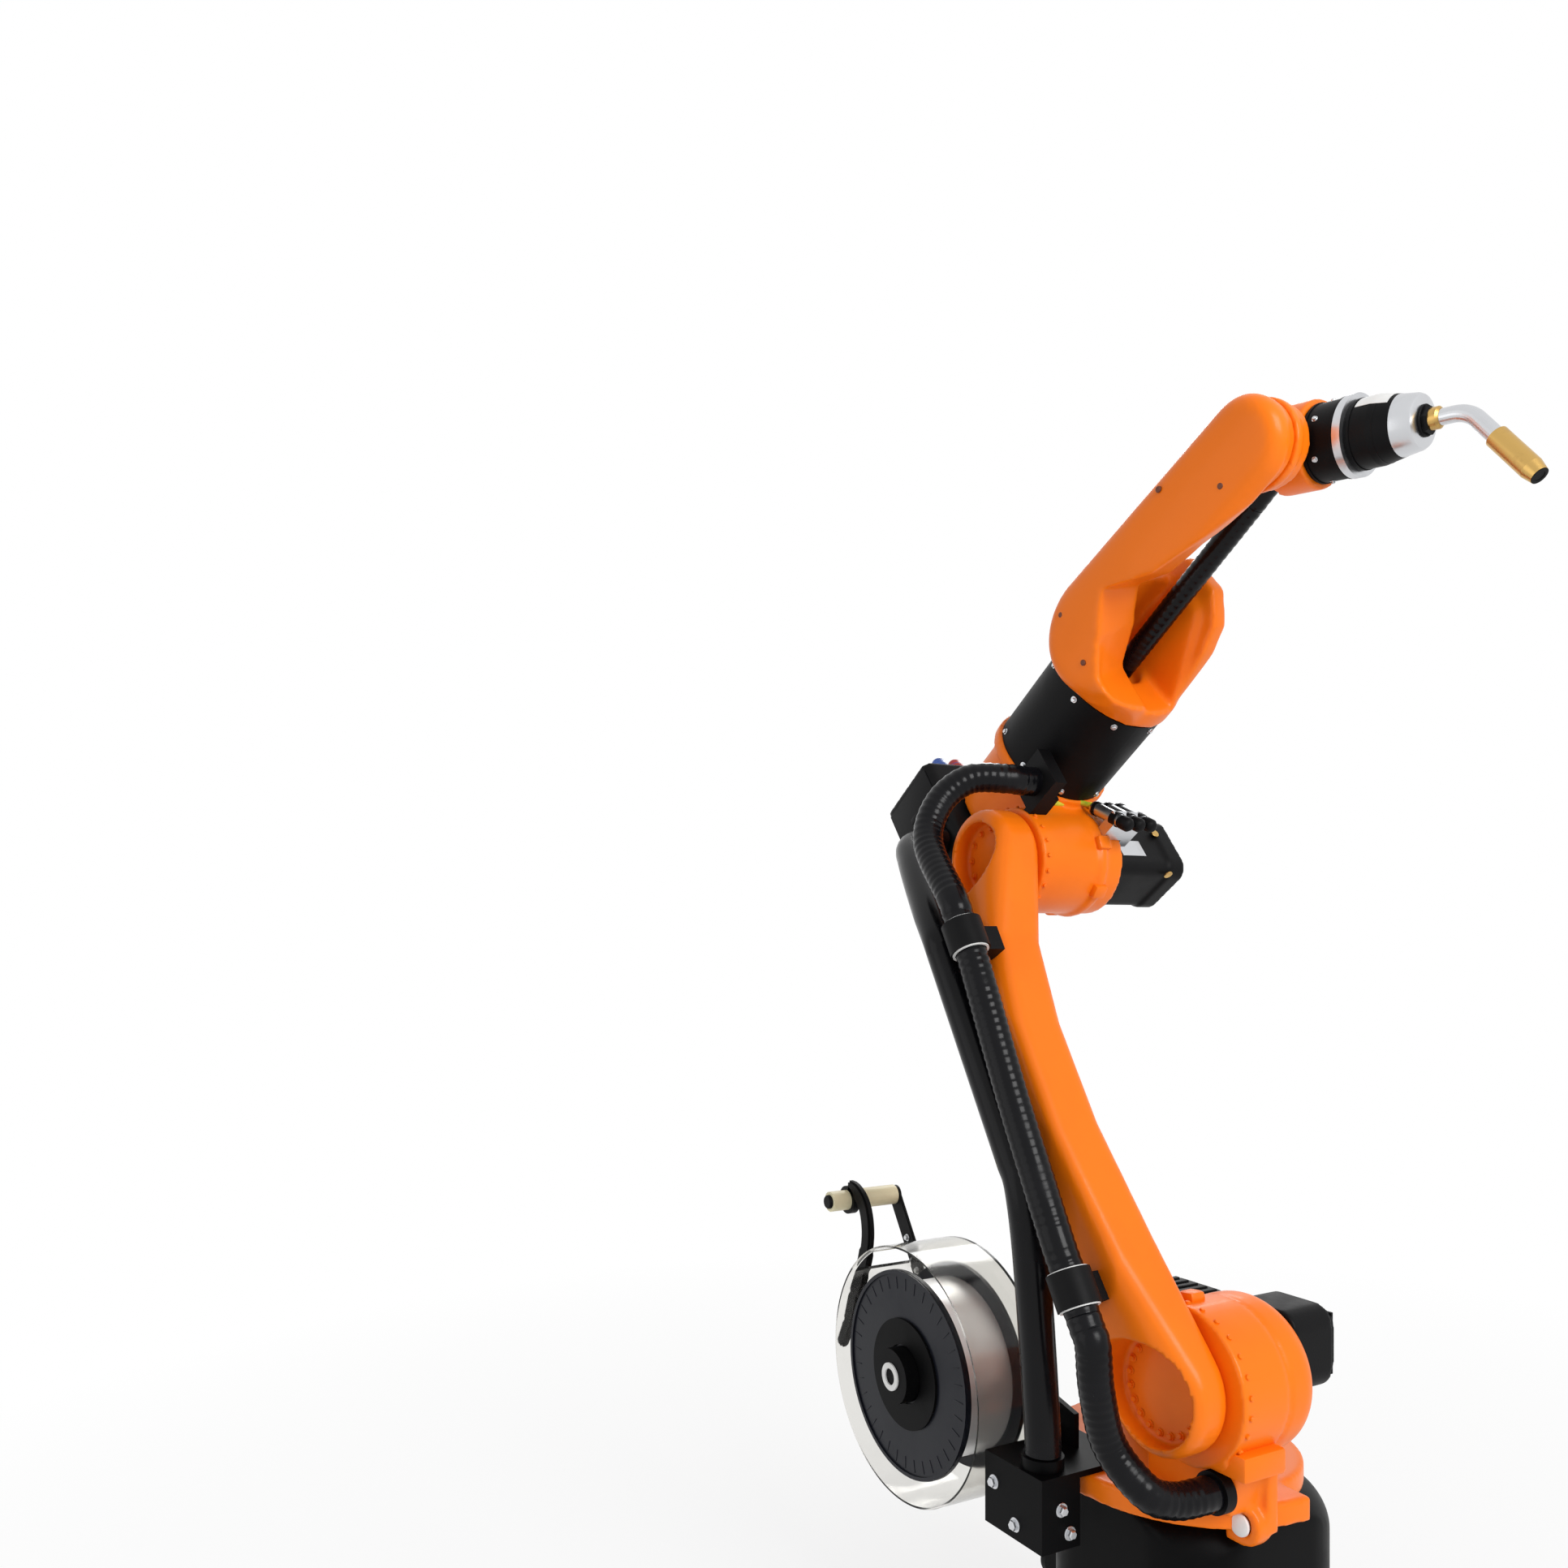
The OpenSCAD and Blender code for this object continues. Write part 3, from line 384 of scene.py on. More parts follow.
def cast_copy(node, voxel, rounds, body, added=None, cutter=None):
    bm = bmesh.new()
    bm.from_mesh(frame["nodes"][node].data)
    if added:
        bm.from_mesh(added)
    piece = bpy.data.objects.new(node + "_cast", mesh_from(bm, node + "_cast"))
    link_to_scene(piece)

    def reskin():
        skin = piece.modifiers.new("skin", "REMESH")
        skin.mode = "VOXEL"
        skin.voxel_size = voxel

    reskin()
    if cutter:
        cut = piece.modifiers.new("cut", "BOOLEAN")
        cut.solver = "MANIFOLD"
        cut.object = cutter
        reskin()
    soften = piece.modifiers.new("soften", "SMOOTH")
    soften.factor = 0.5
    soften.iterations = rounds
    bpy.context.view_layer.update()
    seen_by = bpy.context.evaluated_depsgraph_get()
    mesh = bpy.data.meshes.new_from_object(piece.evaluated_get(seen_by))
    piece.modifiers.clear()
    piece.data = mesh
    mesh.polygons.foreach_set("use_smooth", [True] * len(mesh.polygons))
    mesh.materials.clear()
    mesh.materials.append(slot_finish[node_slot[node]])
    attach(piece, body)
    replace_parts(piece, node)
    return piece


# %% [markdown]
# Two more helpers make plain closed solids, to cut or to thicken a casting. One lofts between two outlines
# with the same number of corners, and the other wraps each group of points in its hull.

# %% Solids between two outlines, and hulls
def loft_mesh(name, part, near, far):
    bm = bmesh.new()
    rings = [[bm.verts.new(point) for point in points_on(part, *outline)] for outline in (near, far)]
    count = len(near)
    for k in range(count):
        bm.faces.new((rings[0][k], rings[0][(k + 1) % count], rings[1][(k + 1) % count], rings[1][k]))
    bm.faces.new(list(reversed(rings[0])))
    bm.faces.new(rings[1])
    bmesh.ops.triangulate(bm, faces=bm.faces)
    bmesh.ops.recalc_face_normals(bm, faces=bm.faces)
    return mesh_from(bm, name)


def hull_mesh(name, part, *groups):
    bm = bmesh.new()
    for points in groups:
        bmesh.ops.convex_hull(bm, input=[bm.verts.new(point) for point in points_on(part, *points)])
    bmesh.ops.recalc_face_normals(bm, faces=bm.faces)
    return mesh_from(bm, name)


# %% [markdown]
# ## Forearm
# The forearm's limb is scooped on its lower side, with a broad slanted facet at its root, so that the torch
# cable can be reached. A cutter lofted between two outlines takes that away from the copy before its edges
# are softened, and a wider hump across the slot is added to it, with a web that ties the two together.

# %% The forearm's scoop, hump and web
scoop_outer = [(x, -142, z) for x, z in ((612, -62), (540, -44), (460, -18), (394, 28), (342, -12),
                                         (298, -46), (274, -130), (640, -130))]
scoop_inner = [(x, -20, z) for x, z in ((602, -44), (526, -22), (446, 4), (404, 32), (360, 10),
                                        (290, -14), (270, -130), (640, -130))]
scoop = bpy.data.objects.new("scoop", loft_mesh("scoop", forearm_frame, scoop_outer, scoop_inner))
hump_x, hump_r = 250, 93
hump_points = [(hump_x, hump_r * math.sin(math.radians(a)), hump_r * math.cos(math.radians(a)))
               for a in range(25, 156, 10)]
hump_points += [(x, y, z) for x, z0, z1 in ((360, -66, 66), (400, -52, 66), (432, -14, 52))
                for y in (36, 64) for z in (z0, z1)]
web_points = [(x, y, z) for x in (290, 396) for y in (-64, 50) for z in (46, 66)]
hump = hull_mesh("hump", forearm_frame, hump_points, web_points)
forearm = cast_copy("forearm", 0.003, 7, "forearm", hump, scoop)
bpy.data.objects.remove(scoop)
print("forearm", len(forearm.data.polygons), "faces")

# %% [markdown]
# The limb's outer face is crowned: it is highest along a line from the root to the wrist and falls away to
# both edges. Its points are moved by a formula, which the small cells are fine enough to follow, and a last
# smoothing takes out the steps between them.

# %% The forearm's crowned face
crown_y, crown_fall, crown_most, crown_blend, crown_rounds = -100, 9, 1.3, 20, 6
waist_x = 330
inside = forearm_frame.inverted()
for v in forearm.data.vertices:
    x, y, z = (inside @ v.co) * 1000
    along = min(max((x - waist_x) / (forearm_length - waist_x), 0), 1)
    off = (z - (30 - 30 * along)) / (64 - 8 * along)
    if y < crown_y:
        fall = crown_fall * min(off * off, crown_most) * min((crown_y - y) / crown_blend, 1)
        v.co = at(forearm_frame, x, y + fall, z)
bm = bmesh.new()
bm.from_mesh(forearm.data)
for _ in range(crown_rounds):
    bmesh.ops.smooth_vert(bm, verts=bm.verts, factor=0.5, use_axis_x=True, use_axis_y=True, use_axis_z=True)
bm.to_mesh(forearm.data)
bm.free()
print("crown falls", crown_fall, "mm and more to the edges")

# %% [markdown]
# ## Castings and housings
# The other castings and moulded housings only need their edges softened. The list gives each one's cell
# size in metres and its rounds of smoothing: a large plain casting takes coarse cells, a small one fine.

# %% Castings and moulded housings with soft edges
cast_parts = [
    ("base_frame", 0.005, 4, "base"), ("column", 0.0034, 6, "column"), ("slew_motor", 0.0034, 4, "column"),
    ("shoulder_motor", 0.003, 5, "column"), ("link_arm", 0.0032, 4, "link_arm"),
    ("arm_housing", 0.0034, 6, "arm"), ("elbow_motor", 0.003, 5, "arm"), ("feeder_box", 0.004, 3, "arm"),
    ("feeder_motor", 0.003, 5, "arm"), ("wrist_ring", 0.0026, 4, "wrist"),
]
for node, voxel, rounds, body in cast_parts:
    made = cast_copy(node, voxel, rounds, body)
    print(node, len(made.data.polygons), "faces")


# %% [markdown]
# ## Hoses
# A hose is a circle swept along a smooth curve. The main hose and the torch cable have shallow ribs, which
# break the highlight into beads. The loops at the shoulder and the elbow, and the torch cable's bend into
# the wrist, ride on no body and stay where they are made; the straight runs ride on the link arm or the
# forearm.

# %% Sweep helper
def smooth_route(route, step=0.003):
    points = []
    last = len(route) - 1
    for i in range(last):
        a, b, c, d = route[max(i - 1, 0)], route[i], route[i + 1], route[min(i + 2, last)]
        count = max(2, int((c - b).length / step))
        for j in range(count):
            t = j / count
            points.append(0.5 * (2 * b + (c - a) * t + (2 * a - 5 * b + 4 * c - d) * t * t
                                 + (3 * b - a - 3 * c + d) * t ** 3))
    return points + [route[last]]


def sweep(bm, points, radius, sides=20, rib=0.0, pitch=0.011):
    rings = []
    across = None
    run = 0.0
    for i, point in enumerate(points):
        along = (points[min(i + 1, len(points) - 1)] - points[max(i - 1, 0)]).normalized()
        if across is None:
            across = along.orthogonal()
        across = (across - along * across.dot(along)).normalized()
        beside = along.cross(across)
        if i:
            run += (point - points[i - 1]).length
        reach = radius - rib * (0.5 + 0.5 * math.cos(math.tau * run / pitch))
        rings.append([bm.verts.new(point + reach * (math.cos(a) * across + math.sin(a) * beside))
                      for a in (math.tau * k / sides for k in range(sides))])
    for near, far in zip(rings, rings[1:]):
        for k in range(sides):
            bm.faces.new((near[k], far[k], far[(k + 1) % sides], near[(k + 1) % sides]))
    bm.faces.new(rings[0])
    bm.faces.new(list(reversed(rings[-1])))
    return run


def hose(name, route, diameter, node, bodies, rib=0.0):
    bm = bmesh.new()
    length = sweep(bm, smooth_route(route), diameter / 2, rib=rib)
    piece = add_piece(name, bm, hose_rubber, None if len(bodies) == 2 else bodies[0], 80)
    if len(bodies) == 2:
        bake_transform(piece)
    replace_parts(piece, node)
    print(name, round(length, 3), "m")


# %% [markdown]
# Each hose goes from its gland on the column along the link arm to its seat on the arm. It comes in three
# lengths, and each one starts a small gap beyond the last, so that no two share a face.

# %% Main hose
main_d, main_rib, gap = 0.044, 0.0009, 0.3
gland = Vector((172, -128, 408))
low_clamp, high_clamp = (36, -295), (63, -295)
low_end, high_end = 96, 640
gland_steps = ((0, -16 - gap, 0), (0, -40, 0), (-4, -76, 2), (-12, -112, 18))
main_low = points_on(robot, *(gland + Vector(step) for step in gland_steps))
main_low += points_on(link_frame, (-29, -266, -46), (7, -288, 14), (35, -295, 60), (*low_clamp, 78),
                      (*low_clamp, low_end))
main_run = points_on(link_frame, (*low_clamp, low_end + gap), (*low_clamp, 152), (40, -298, 200),
                     (50, -299, 370), (61, -297, 520), (*high_clamp, 578), (*high_clamp, high_end))
main_high = points_on(link_frame, (*high_clamp, high_end + gap), (*high_clamp, 664))
main_high += points_on(arm_frame, (32, -276, 0), (54, -246, 58), (88, -204, 78), (110, -152, 64),
                       (110, -128, 62), (110, -104 - gap, 62))
hose("main_hose_low", main_low, main_d, "hose_lower", ("column", "link_arm"), main_rib)
hose("main_hose_run", main_run, main_d, "hose_mid", ("link_arm",), main_rib)
hose("main_hose_high", main_high, main_d, "hose_upper", ("link_arm", "arm"), main_rib)

# %% Feeder hose
feeder_d = 0.048
feeder_x, feeder_y, feeder_from, feeder_to = 0, -288, 300, 612
feeder_low = points_on(robot, (-24, -240, 404 + gap), (-24, -240, 428), (-20, -250, 520))
feeder_low += points_on(link_frame, (-61, -272, 165), (-20, -284, 227), (feeder_x, feeder_y, 276),
                        (feeder_x, feeder_y, feeder_from))
feeder_run = [at(link_frame, feeder_x, feeder_y, z) for z in (feeder_from + gap, 400, 500, feeder_to)]
feeder_high = points_on(link_frame, (feeder_x, feeder_y, feeder_to + gap), (feeder_x, feeder_y, 636),
                        (-26, -268, 700))
feeder_high += points_on(arm_frame, (-74, -222, 46), (-98, -190, 100), (-104, -142, 122),
                         (-104, -118 - gap, 122))
hose("feeder_hose_low", feeder_low, feeder_d, "feeder_hose_lower", ("column", "link_arm"))
hose("feeder_hose_run", feeder_run, feeder_d, "feeder_hose_mid", ("link_arm",))
hose("feeder_hose_high", feeder_high, feeder_d, "feeder_hose_upper", ("link_arm", "arm"))

# %% Torch cable through the forearm and its bend into the wrist
cable_d, cable_rib, cable_end = 0.033, 0.0007, 562
cable_run = [at(forearm_frame, x, 0, 0) for x in (251, 340, 450, cable_end)]
cable_bend = [at(forearm_frame, x, 0, 0) for x in (cable_end + gap, 612)]
cable_bend += [at(torch_frame, 0, 0, z) for z in (8, 30)]
hose("torch_cable_run", cable_run, cable_d, "torch_cable", ("forearm",), cable_rib)
hose("torch_cable_turn", cable_bend, cable_d, "torch_cable_bend", ("forearm", "wrist"), cable_rib)


# %% [markdown]
# ## Fasteners
# A cap screw is a short cylinder with a bevelled rim on a thin washer; a bolt head has six sides. They
# are small and many, so all those of one body and finish are gathered into one mesh. What is round is
# turned from an outline of radius and height, as on a lathe, and what is square is a bevelled slab.

# %% Helpers for turned pieces, screws and slabs
def lathe(bm, place, axis, levels, sides, hollow=False):
    rings = [[bm.verts.new((r * math.cos(math.tau * k / sides), r * math.sin(math.tau * k / sides), h))
              for k in range(sides)] for r, h in levels]
    next_rings = rings[1:] + rings[:1] if hollow else rings[1:]
    for near, far in zip(rings, next_rings):
        for k in range(sides):
            bm.faces.new((near[k], near[(k + 1) % sides], far[(k + 1) % sides], far[k]))
    if not hollow:
        bm.faces.new(rings[-1])
        bm.faces.new(list(reversed(rings[0])))
    facing = Vector(axis).normalized().to_track_quat("Z", "Y").to_matrix().to_4x4()
    verts = [v for ring in rings for v in ring]
    bmesh.ops.transform(bm, matrix=Matrix.Translation(place) @ facing, verts=verts)


def turned(bm, place, axis, outline_mm, sides=48):
    lathe(bm, place, axis, [(r / 1000, h / 1000) for r, h in outline_mm], sides)


def disc(bm, place, axis, r, h, sides=24, rim=0.25):
    rim_h = min(r, h) * rim
    lathe(bm, place, axis, ((r, 0), (r, h - rim_h), (r - rim_h, h)), sides)


def sleeve(bm, place, axis, r0, r1, h, sides=40):
    lathe(bm, place, axis, ((r0, 0), (r1, 0), (r1, h), (r0, h)), sides, hollow=True)


def screw(bm, place, axis, r, hexagon=False):
    axis = Vector(axis).normalized()
    washer_r, washer_h = r * 1.45, r * 0.3
    disc(bm, place, axis, washer_r, washer_h, 18)
    disc(bm, place + axis * washer_h, axis, r, r, 6 if hexagon else 16)


def slab(bm, part, low, high, bevel):
    made = bmesh.ops.create_cube(bm, size=1.0)["verts"]
    low, high = Vector(low) / 1000, Vector(high) / 1000
    bmesh.ops.scale(bm, vec=high - low, verts=made)
    bmesh.ops.translate(bm, vec=(low + high) / 2, verts=made)
    edges = list({edge for v in made for edge in v.link_edges})
    cut = bmesh.ops.bevel(bm, geom=edges, offset=bevel, segments=2, affect="EDGES", profile=0.5)
    verts = list(set(cut["verts"]) | {v for v in made if v.is_valid})
    bmesh.ops.transform(bm, matrix=part, verts=verts)


def around(count, first=0.0):
    turns = [math.tau * (k + first) / count for k in range(count)]
    return [(math.cos(a), math.sin(a)) for a in turns]


# %% Bolts, rear screws and sockets of the base
up, to_front, to_back = (0, 0, 1), (0, -1, 0), (-1, 0, 0)
bolt_x, bolt_y, flange_top = 180, 155, 25
bm = bmesh.new()
for i in (-1, 1):
    for j in (-1, 1):
        screw(bm, at(robot, i * bolt_x, j * bolt_y, flange_top), up, 0.0125, True)
for y in (-52, 52):
    for z in (68, 182):
        screw(bm, at(robot, -227.4, y, z), to_back, 0.004)
add_piece("floor_bolt_heads", bm, bright_steel, "base")
socket_z, pin_circle = 125, 13
socket_outline = ((26, -12), (26, -2), (24.5, 1), (20, 1), (19, -0.6), (0.5, -0.6))
bm = bmesh.new()
for y in (-30, 30):
    turned(bm, at(robot, -245, y, socket_z), to_back, socket_outline, 40)
    for c, s in around(12):
        pin = at(robot, -244.2, y + pin_circle * c, socket_z + pin_circle * s)
        disc(bm, pin, to_back, 0.0022, 0.003, 12)
add_piece("base_sockets", bm, black_plastic, "base")
print("base bolts and sockets placed")

# %% Screws, stop pad, nuts and plug of the column
bowl_y, bowl_r, lowest_sine = -139, 0.0975, -0.62
foot_circle, foot_top = 176, 379.5
bm = bmesh.new()
for c, s in around(26, 0.5):
    if s > lowest_sine:
        out = Vector((c, 0, s))
        screw(bm, at(shoulder_frame, 0, bowl_y, 0) + out * bowl_r, out, 0.0034)
for degrees in (-52, -64, -98, -200, -214):
    a = math.radians(degrees)
    screw(bm, at(robot, foot_circle * math.cos(a), foot_circle * math.sin(a), foot_top), up, 0.006)
slab(bm, shoulder_frame @ turn(-97, "Y"), (94, -132, -13), (110, -106, 13), 0.006)
add_piece("column_screws", bm, orange_paint, "column")
bm = bmesh.new()
slab(bm, robot, (146, -145, 436), (224, -72, 468), 0.005)
add_piece("stop_pad", bm, orange_paint, "column")
bm = bmesh.new()
for place, axis in (((12, -240, 345), (1, 0, 0)), ((12, -226, 312), (1, 0, 0)),
                    ((-84, -272, 352), to_front), ((-40, -272, 312), to_front)):
    screw(bm, at(robot, *place), axis, 0.0065, True)
add_piece("bracket_nuts", bm, bright_steel, "column")
bm = bmesh.new()
turned(bm, at(robot, 174, -93, 360), to_front, ((12.4, 0), (12.4, 3), (14.5, 3.4), (14, 6), (10, 8)), 32)
add_piece("eye_plug", bm, pale_plastic, "column")
print("column screws, pad and plug placed")

# %% Screw circles in the link arm's recesses, and rings on its clamps
link_out = way(link_frame, 0, -1, 0)
bm = bmesh.new()
for count, circle, y, z in ((20, 56, -179.8, 0), (12, 46, -141.8, link_length)):
    for c, s in around(count):
        screw(bm, at(link_frame, circle * c, y, z + circle * s), link_out, 0.0036)
add_piece("link_screws", bm, orange_paint, "link_arm")
bm = bmesh.new()
for clamp, middle in ((low_clamp, 128), (high_clamp, 602)):
    for end in (-23.5, 22):
        sleeve(bm, at(link_frame, *clamp, middle + end), way(link_frame, 0, 0, 1), 0.0222, 0.0255, 0.0015)
disc(bm, at(link_frame, 22, -173, 400), link_out, 0.008, 0.006)
add_piece("clamp_rings", bm, pale_plastic, "link_arm")
print("link arm screws placed")

# %% Screws and lugs of the arm's cover and drum
cover_r, drum_y, drum_r = 0.0915, -98, 0.0795
bm = bmesh.new()
for c, s in around(8, 0.5):
    out = way(arm_frame, 0, c, s)
    for x in (90, 230):
        screw(bm, at(arm_frame, x, 0, forearm_up) + out * cover_r, out, 0.0034)
add_piece("cover_screws", bm, bright_steel, "arm")
bm = bmesh.new()
for c, s in around(22):
    out = way(arm_frame, c, 0, s)
    screw(bm, at(arm_frame, 0, drum_y, 0) + out * drum_r, out, 0.003)
for degrees in (-18, -70, 205):
    slab(bm, arm_frame @ turn(-degrees, "Y"), (76, -4, -11), (90, 20, 11), 0.004)
add_piece("drum_screws", bm, orange_paint, "arm")
print("arm screws placed")

# %% Cap plugs of the forearm, screws of the wrist and the torch
limb_y, root_y, limb_from = -127, -122.6, 400
bm = bmesh.new()
for x, z in ((600, -20), (540, 50), (430, 24), (318, 62), (300, -14)):
    y = limb_y if x > limb_from else root_y
    disc(bm, at(forearm_frame, x, y, z), way(forearm_frame, 0, -1, 0), 0.0042, 0.004)
add_piece("forearm_plugs", bm, cap_rubber, "forearm")
wrist_circle, wrist_back, wrist_out = 44, -16.2, way(torch_frame, 0, 0, -1)
bm = bmesh.new()
for c, s in around(12):
    screw(bm, at(torch_frame, wrist_circle * c, wrist_circle * s, wrist_back), wrist_out, 0.0024)
add_piece("wrist_screws", bm, orange_paint, "wrist")
clamp_z, clamp_r = 50, 0.0466
bm = bmesh.new()
for c, s in around(6):
    out = way(torch_frame, c, s, 0)
    screw(bm, at(torch_frame, 0, 0, clamp_z) + out * clamp_r, out, 0.0026)
add_piece("torch_screws", bm, bright_steel, "torch")
print("forearm, wrist and torch screws placed")

# %% [markdown]
# ## Spool
# The spool's front flange has a rolled rim, a raised disc round its hub and a row of short ribs, and a
# pale ring shows on the spindle. The hub disc is painted darker than the flange, as painted shade of the
# recess round the hub. The wire already has its own solid, so it only needs the wound finish.

# %% Ribs, rim, hub disc and spindle ring of the spool
spool_x, spool_y, spool_z = -288.0, -276.0, 435.0
rib_count, rib_circle = 36, 0.131
flange = at(robot, spool_x, spool_y + 0.5, spool_z)
bm = bmesh.new()
for k in range(rib_count):
    a = math.tau * k / rib_count
    middle = at(robot, spool_x, spool_y, spool_z) + Vector((math.cos(a), 0, math.sin(a))) * rib_circle
    rib_frame = Matrix.Translation(middle) @ turn(-math.degrees(a), "Y")
    slab(bm, rib_frame, (-9, -0.8, -0.7), (9, 0.5, 0.7), 0.0004)
sleeve(bm, flange, to_front, 0.144, 0.1495, 0.003, 64)
add_piece("spool_ribs", bm, spool_plastic, "spool")
# The hub disc is black paint, darker than the flange: painted shade for the recessed hub.
bm = bmesh.new()
sleeve(bm, flange, to_front, 0.0425, 0.08, 0.0045, 64)
add_piece("spool_hub_shade_disc", bm, black_paint, "spool")
bm = bmesh.new()
sleeve(bm, at(robot, spool_x, -302, spool_z), to_front, 0.012, 0.02, 0.0025)
add_piece("spindle_ring", bm, pale_plastic, "column")
print(rib_count, "spool ribs, rim, hub disc and spindle ring made")


# %% [markdown]
# ## Wire guide
# Two flat strips carry the roller that the wire runs over, and a curved lever hooks over the roller and
# hangs beside the cover. Each strip is a flat bar along a line, so one helper lays a narrow ring of four
# corners at every point of the line and joins them; a bevel takes the sharpness off the cut edges.

# %% Flat bar helper
def flat_bar(bm, line, y0, y1, widths, bevel):
    rings = []
    for i, (x, z) in enumerate(line):
        (x0, z0), (x1, z1) = line[max(i - 1, 0)], line[min(i + 1, len(line) - 1)]
        side = Vector((z0 - z1, x1 - x0)).normalized() * widths[i] / 2
        rings.append([bm.verts.new(at(robot, x + sign * side.x, y, z + sign * side.y))
                      for sign, y in ((-1, y0), (1, y0), (1, y1), (-1, y1))])
    for near, far in zip(rings, rings[1:]):
        for k in range(4):
            bm.faces.new((near[k], near[(k + 1) % 4], far[(k + 1) % 4], far[k]))
    bm.faces.new(rings[0])
    bm.faces.new(reversed(rings[-1]))
    long_edges = [bm.edges.get((near[k], far[k])) for near, far in zip(rings, rings[1:]) for k in range(4)]
    bmesh.ops.bevel(bm, geom=long_edges, offset=bevel, segments=2, affect="EDGES")


def curve(points, count):
    route = smooth_route([Vector((x, 0, z)) for x, z in points], 6.0)
    step = max(1, len(route) // count)
    kept = list(route[::step]) + ([route[-1]] if (len(route) - 1) % step else [])
    return [(point.x, point.z) for point in kept]


# %% Strips, pin and lever of the wire guide
foot_x, foot_z = -388.0, 475.0
roller_x, roller_z = -498.0, 650.0
strip_w, strip_bevel = 30.0, 0.0012
bm = bmesh.new()
flat_bar(bm, [(spool_x, spool_z), (foot_x, foot_z)], -156, -150, (strip_w, strip_w), strip_bevel)
flat_bar(bm, [(foot_x, foot_z), (roller_x, roller_z)], -155.8, -150.2, (strip_w, strip_w), strip_bevel)
for x, z in ((foot_x, foot_z), (roller_x, roller_z)):
    disc(bm, at(robot, x, -149.8, z), to_front, strip_w / 2000, 0.0064, 40, 0.1)
pin_outline = ((6, 0), (6, 130.4), (11, 130.4), (11, 134), (9.5, 136), (4, 136))
turned(bm, at(robot, roller_x, -150, roller_z), to_front, pin_outline, 32)
lever_back, lever_front, lever_w, tip_narrowing = -236, -248, 26, 11
sleeve(bm, at(robot, roller_x, lever_back, roller_z), to_front, 0.0163, 0.0225, 0.012)
lever = curve([(roller_x + 4, roller_z + 19), (-476, 667), (-456, 652), (-445, 626), (-444, 592),
               (-457, 548), (-481, 500), (-500, 450), (-522, 408)], 40)
lever_widths = [lever_w - tip_narrowing * (k / len(lever)) ** 2 for k in range(len(lever))]
flat_bar(bm, lever, lever_front, lever_back, lever_widths, 0.003)
guide = add_piece("wire_guide_arm", bm, black_plastic, "column")
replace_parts(guide, "wire_guide")
bm = bmesh.new()
for x, z in ((-428, 539), (-458, 586)):
    screw(bm, at(robot, x, -155.6, z), to_front, 0.004)
add_piece("guide_screws", bm, bright_steel, "column")
print("wire guide made,", len(lever), "points on its lever")

# %% [markdown]
# ## Wire feeder
# The feeder box has a hinged lid with a parting strip and a latch, and its two couplings end in a blue and
# a red cap. Its back has a door on two hinges, its far side a row of louvres, and a bent handle stands on
# top. Thin slabs that sink a little into the housing are enough for all that is pressed or screwed on.

# %% Feeder lid, latch and coupling caps
lid_seat = -117.4
arm_up = way(arm_frame, 0, 0, 1)
bm = bmesh.new()
slab(bm, arm_frame, (-196, -118.8, 150), (-74, lid_seat, 252), 0.0005)
slab(bm, arm_frame, (-198, -119.8, 143), (-72, lid_seat, 147), 0.0008)
for x in (-180, -90):
    slab(bm, arm_frame, (x - 8, -121.5, 138), (x + 8, lid_seat, 152), 0.001)
slab(bm, arm_frame, (-150, -122, 196), (-120, lid_seat, 206), 0.0015)
add_piece("feeder_lid", bm, black_plastic, "arm")
coupling_x, water_y, return_y = -96, -60, -26
bm = bmesh.new()
for y in (water_y, return_y):
    disc(bm, at(arm_frame, coupling_x, y, 263), arm_up, 0.0155, 0.005, 6)
    disc(bm, at(arm_frame, coupling_x, y, 268), arm_up, 0.0125, 0.005, 32)
add_piece("coupling_nuts", bm, bright_steel, "arm")
cap_outline = ((12, 0), (14, 2), (14, 9), (11, 13), (11, 20), (8.5, 23))
for name, y, material in (("water_cap", water_y, blue_cap), ("return_cap", return_y, red_cap)):
    bm = bmesh.new()
    turned(bm, at(arm_frame, coupling_x, y, 273), arm_up, cap_outline, 32)
    add_piece(name, bm, material, "arm")
print("feeder lid and coupling caps made")

# %% Feeder door, hinges, louvres and carrying handle
door_way = way(arm_frame, -1, 0, 0)
bm = bmesh.new()
slab(bm, arm_frame, (-205.6, -98, 100), (-203.4, 48, 250), 0.0008)
for z in (122, 228):
    turned(bm, at(arm_frame, -206, 54, z - 14), arm_up, ((3.2, 0), (4, 1), (4, 27), (3.2, 28)), 20)
for z in (140, 210):
    turned(bm, at(arm_frame, -205, -88, z), door_way, ((9, 0), (9, 2), (7.5, 4), (3, 4.6)), 28)
louvre_count, louvre_from, louvre_pitch, louvre_tilt = 9, 118, 14, 24
for k in range(louvre_count):
    louvre = arm_frame @ shift(-135, 67, louvre_from + louvre_pitch * k) @ turn(louvre_tilt, "X")
    slab(bm, louvre, (-44, -2, -3.6), (44, 2.2, 3.6), 0.001)
handle_x, near_foot, far_foot, feeder_top = -176, -84, 32, 262
handle = ((near_foot, feeder_top), (near_foot, 276), (-78, 288), (-60, 292), (-20, 292), (8, 292), (26, 288),
          (far_foot, 276), (far_foot, feeder_top))
sweep(bm, smooth_route([at(arm_frame, handle_x, y, z) for y, z in handle]), 0.0065, 16)
for y in (near_foot, far_foot):
    disc(bm, at(arm_frame, handle_x, y, feeder_top + 0.6), arm_up, 0.0125, 0.005, 28)
add_piece("feeder_door", bm, black_plastic, "arm")
bm = bmesh.new()
for z in (98, 252):
    for y in (-104, 54):
        screw(bm, at(arm_frame, -203.8, y, z), door_way, 0.0032)
    for x in (-186, -84):
        screw(bm, at(arm_frame, x, 66.8, z), way(arm_frame, 0, 1, 0), 0.0032)
add_piece("feeder_screws", bm, bright_steel, "arm")
print("feeder door,", louvre_count, "louvres and handle made")


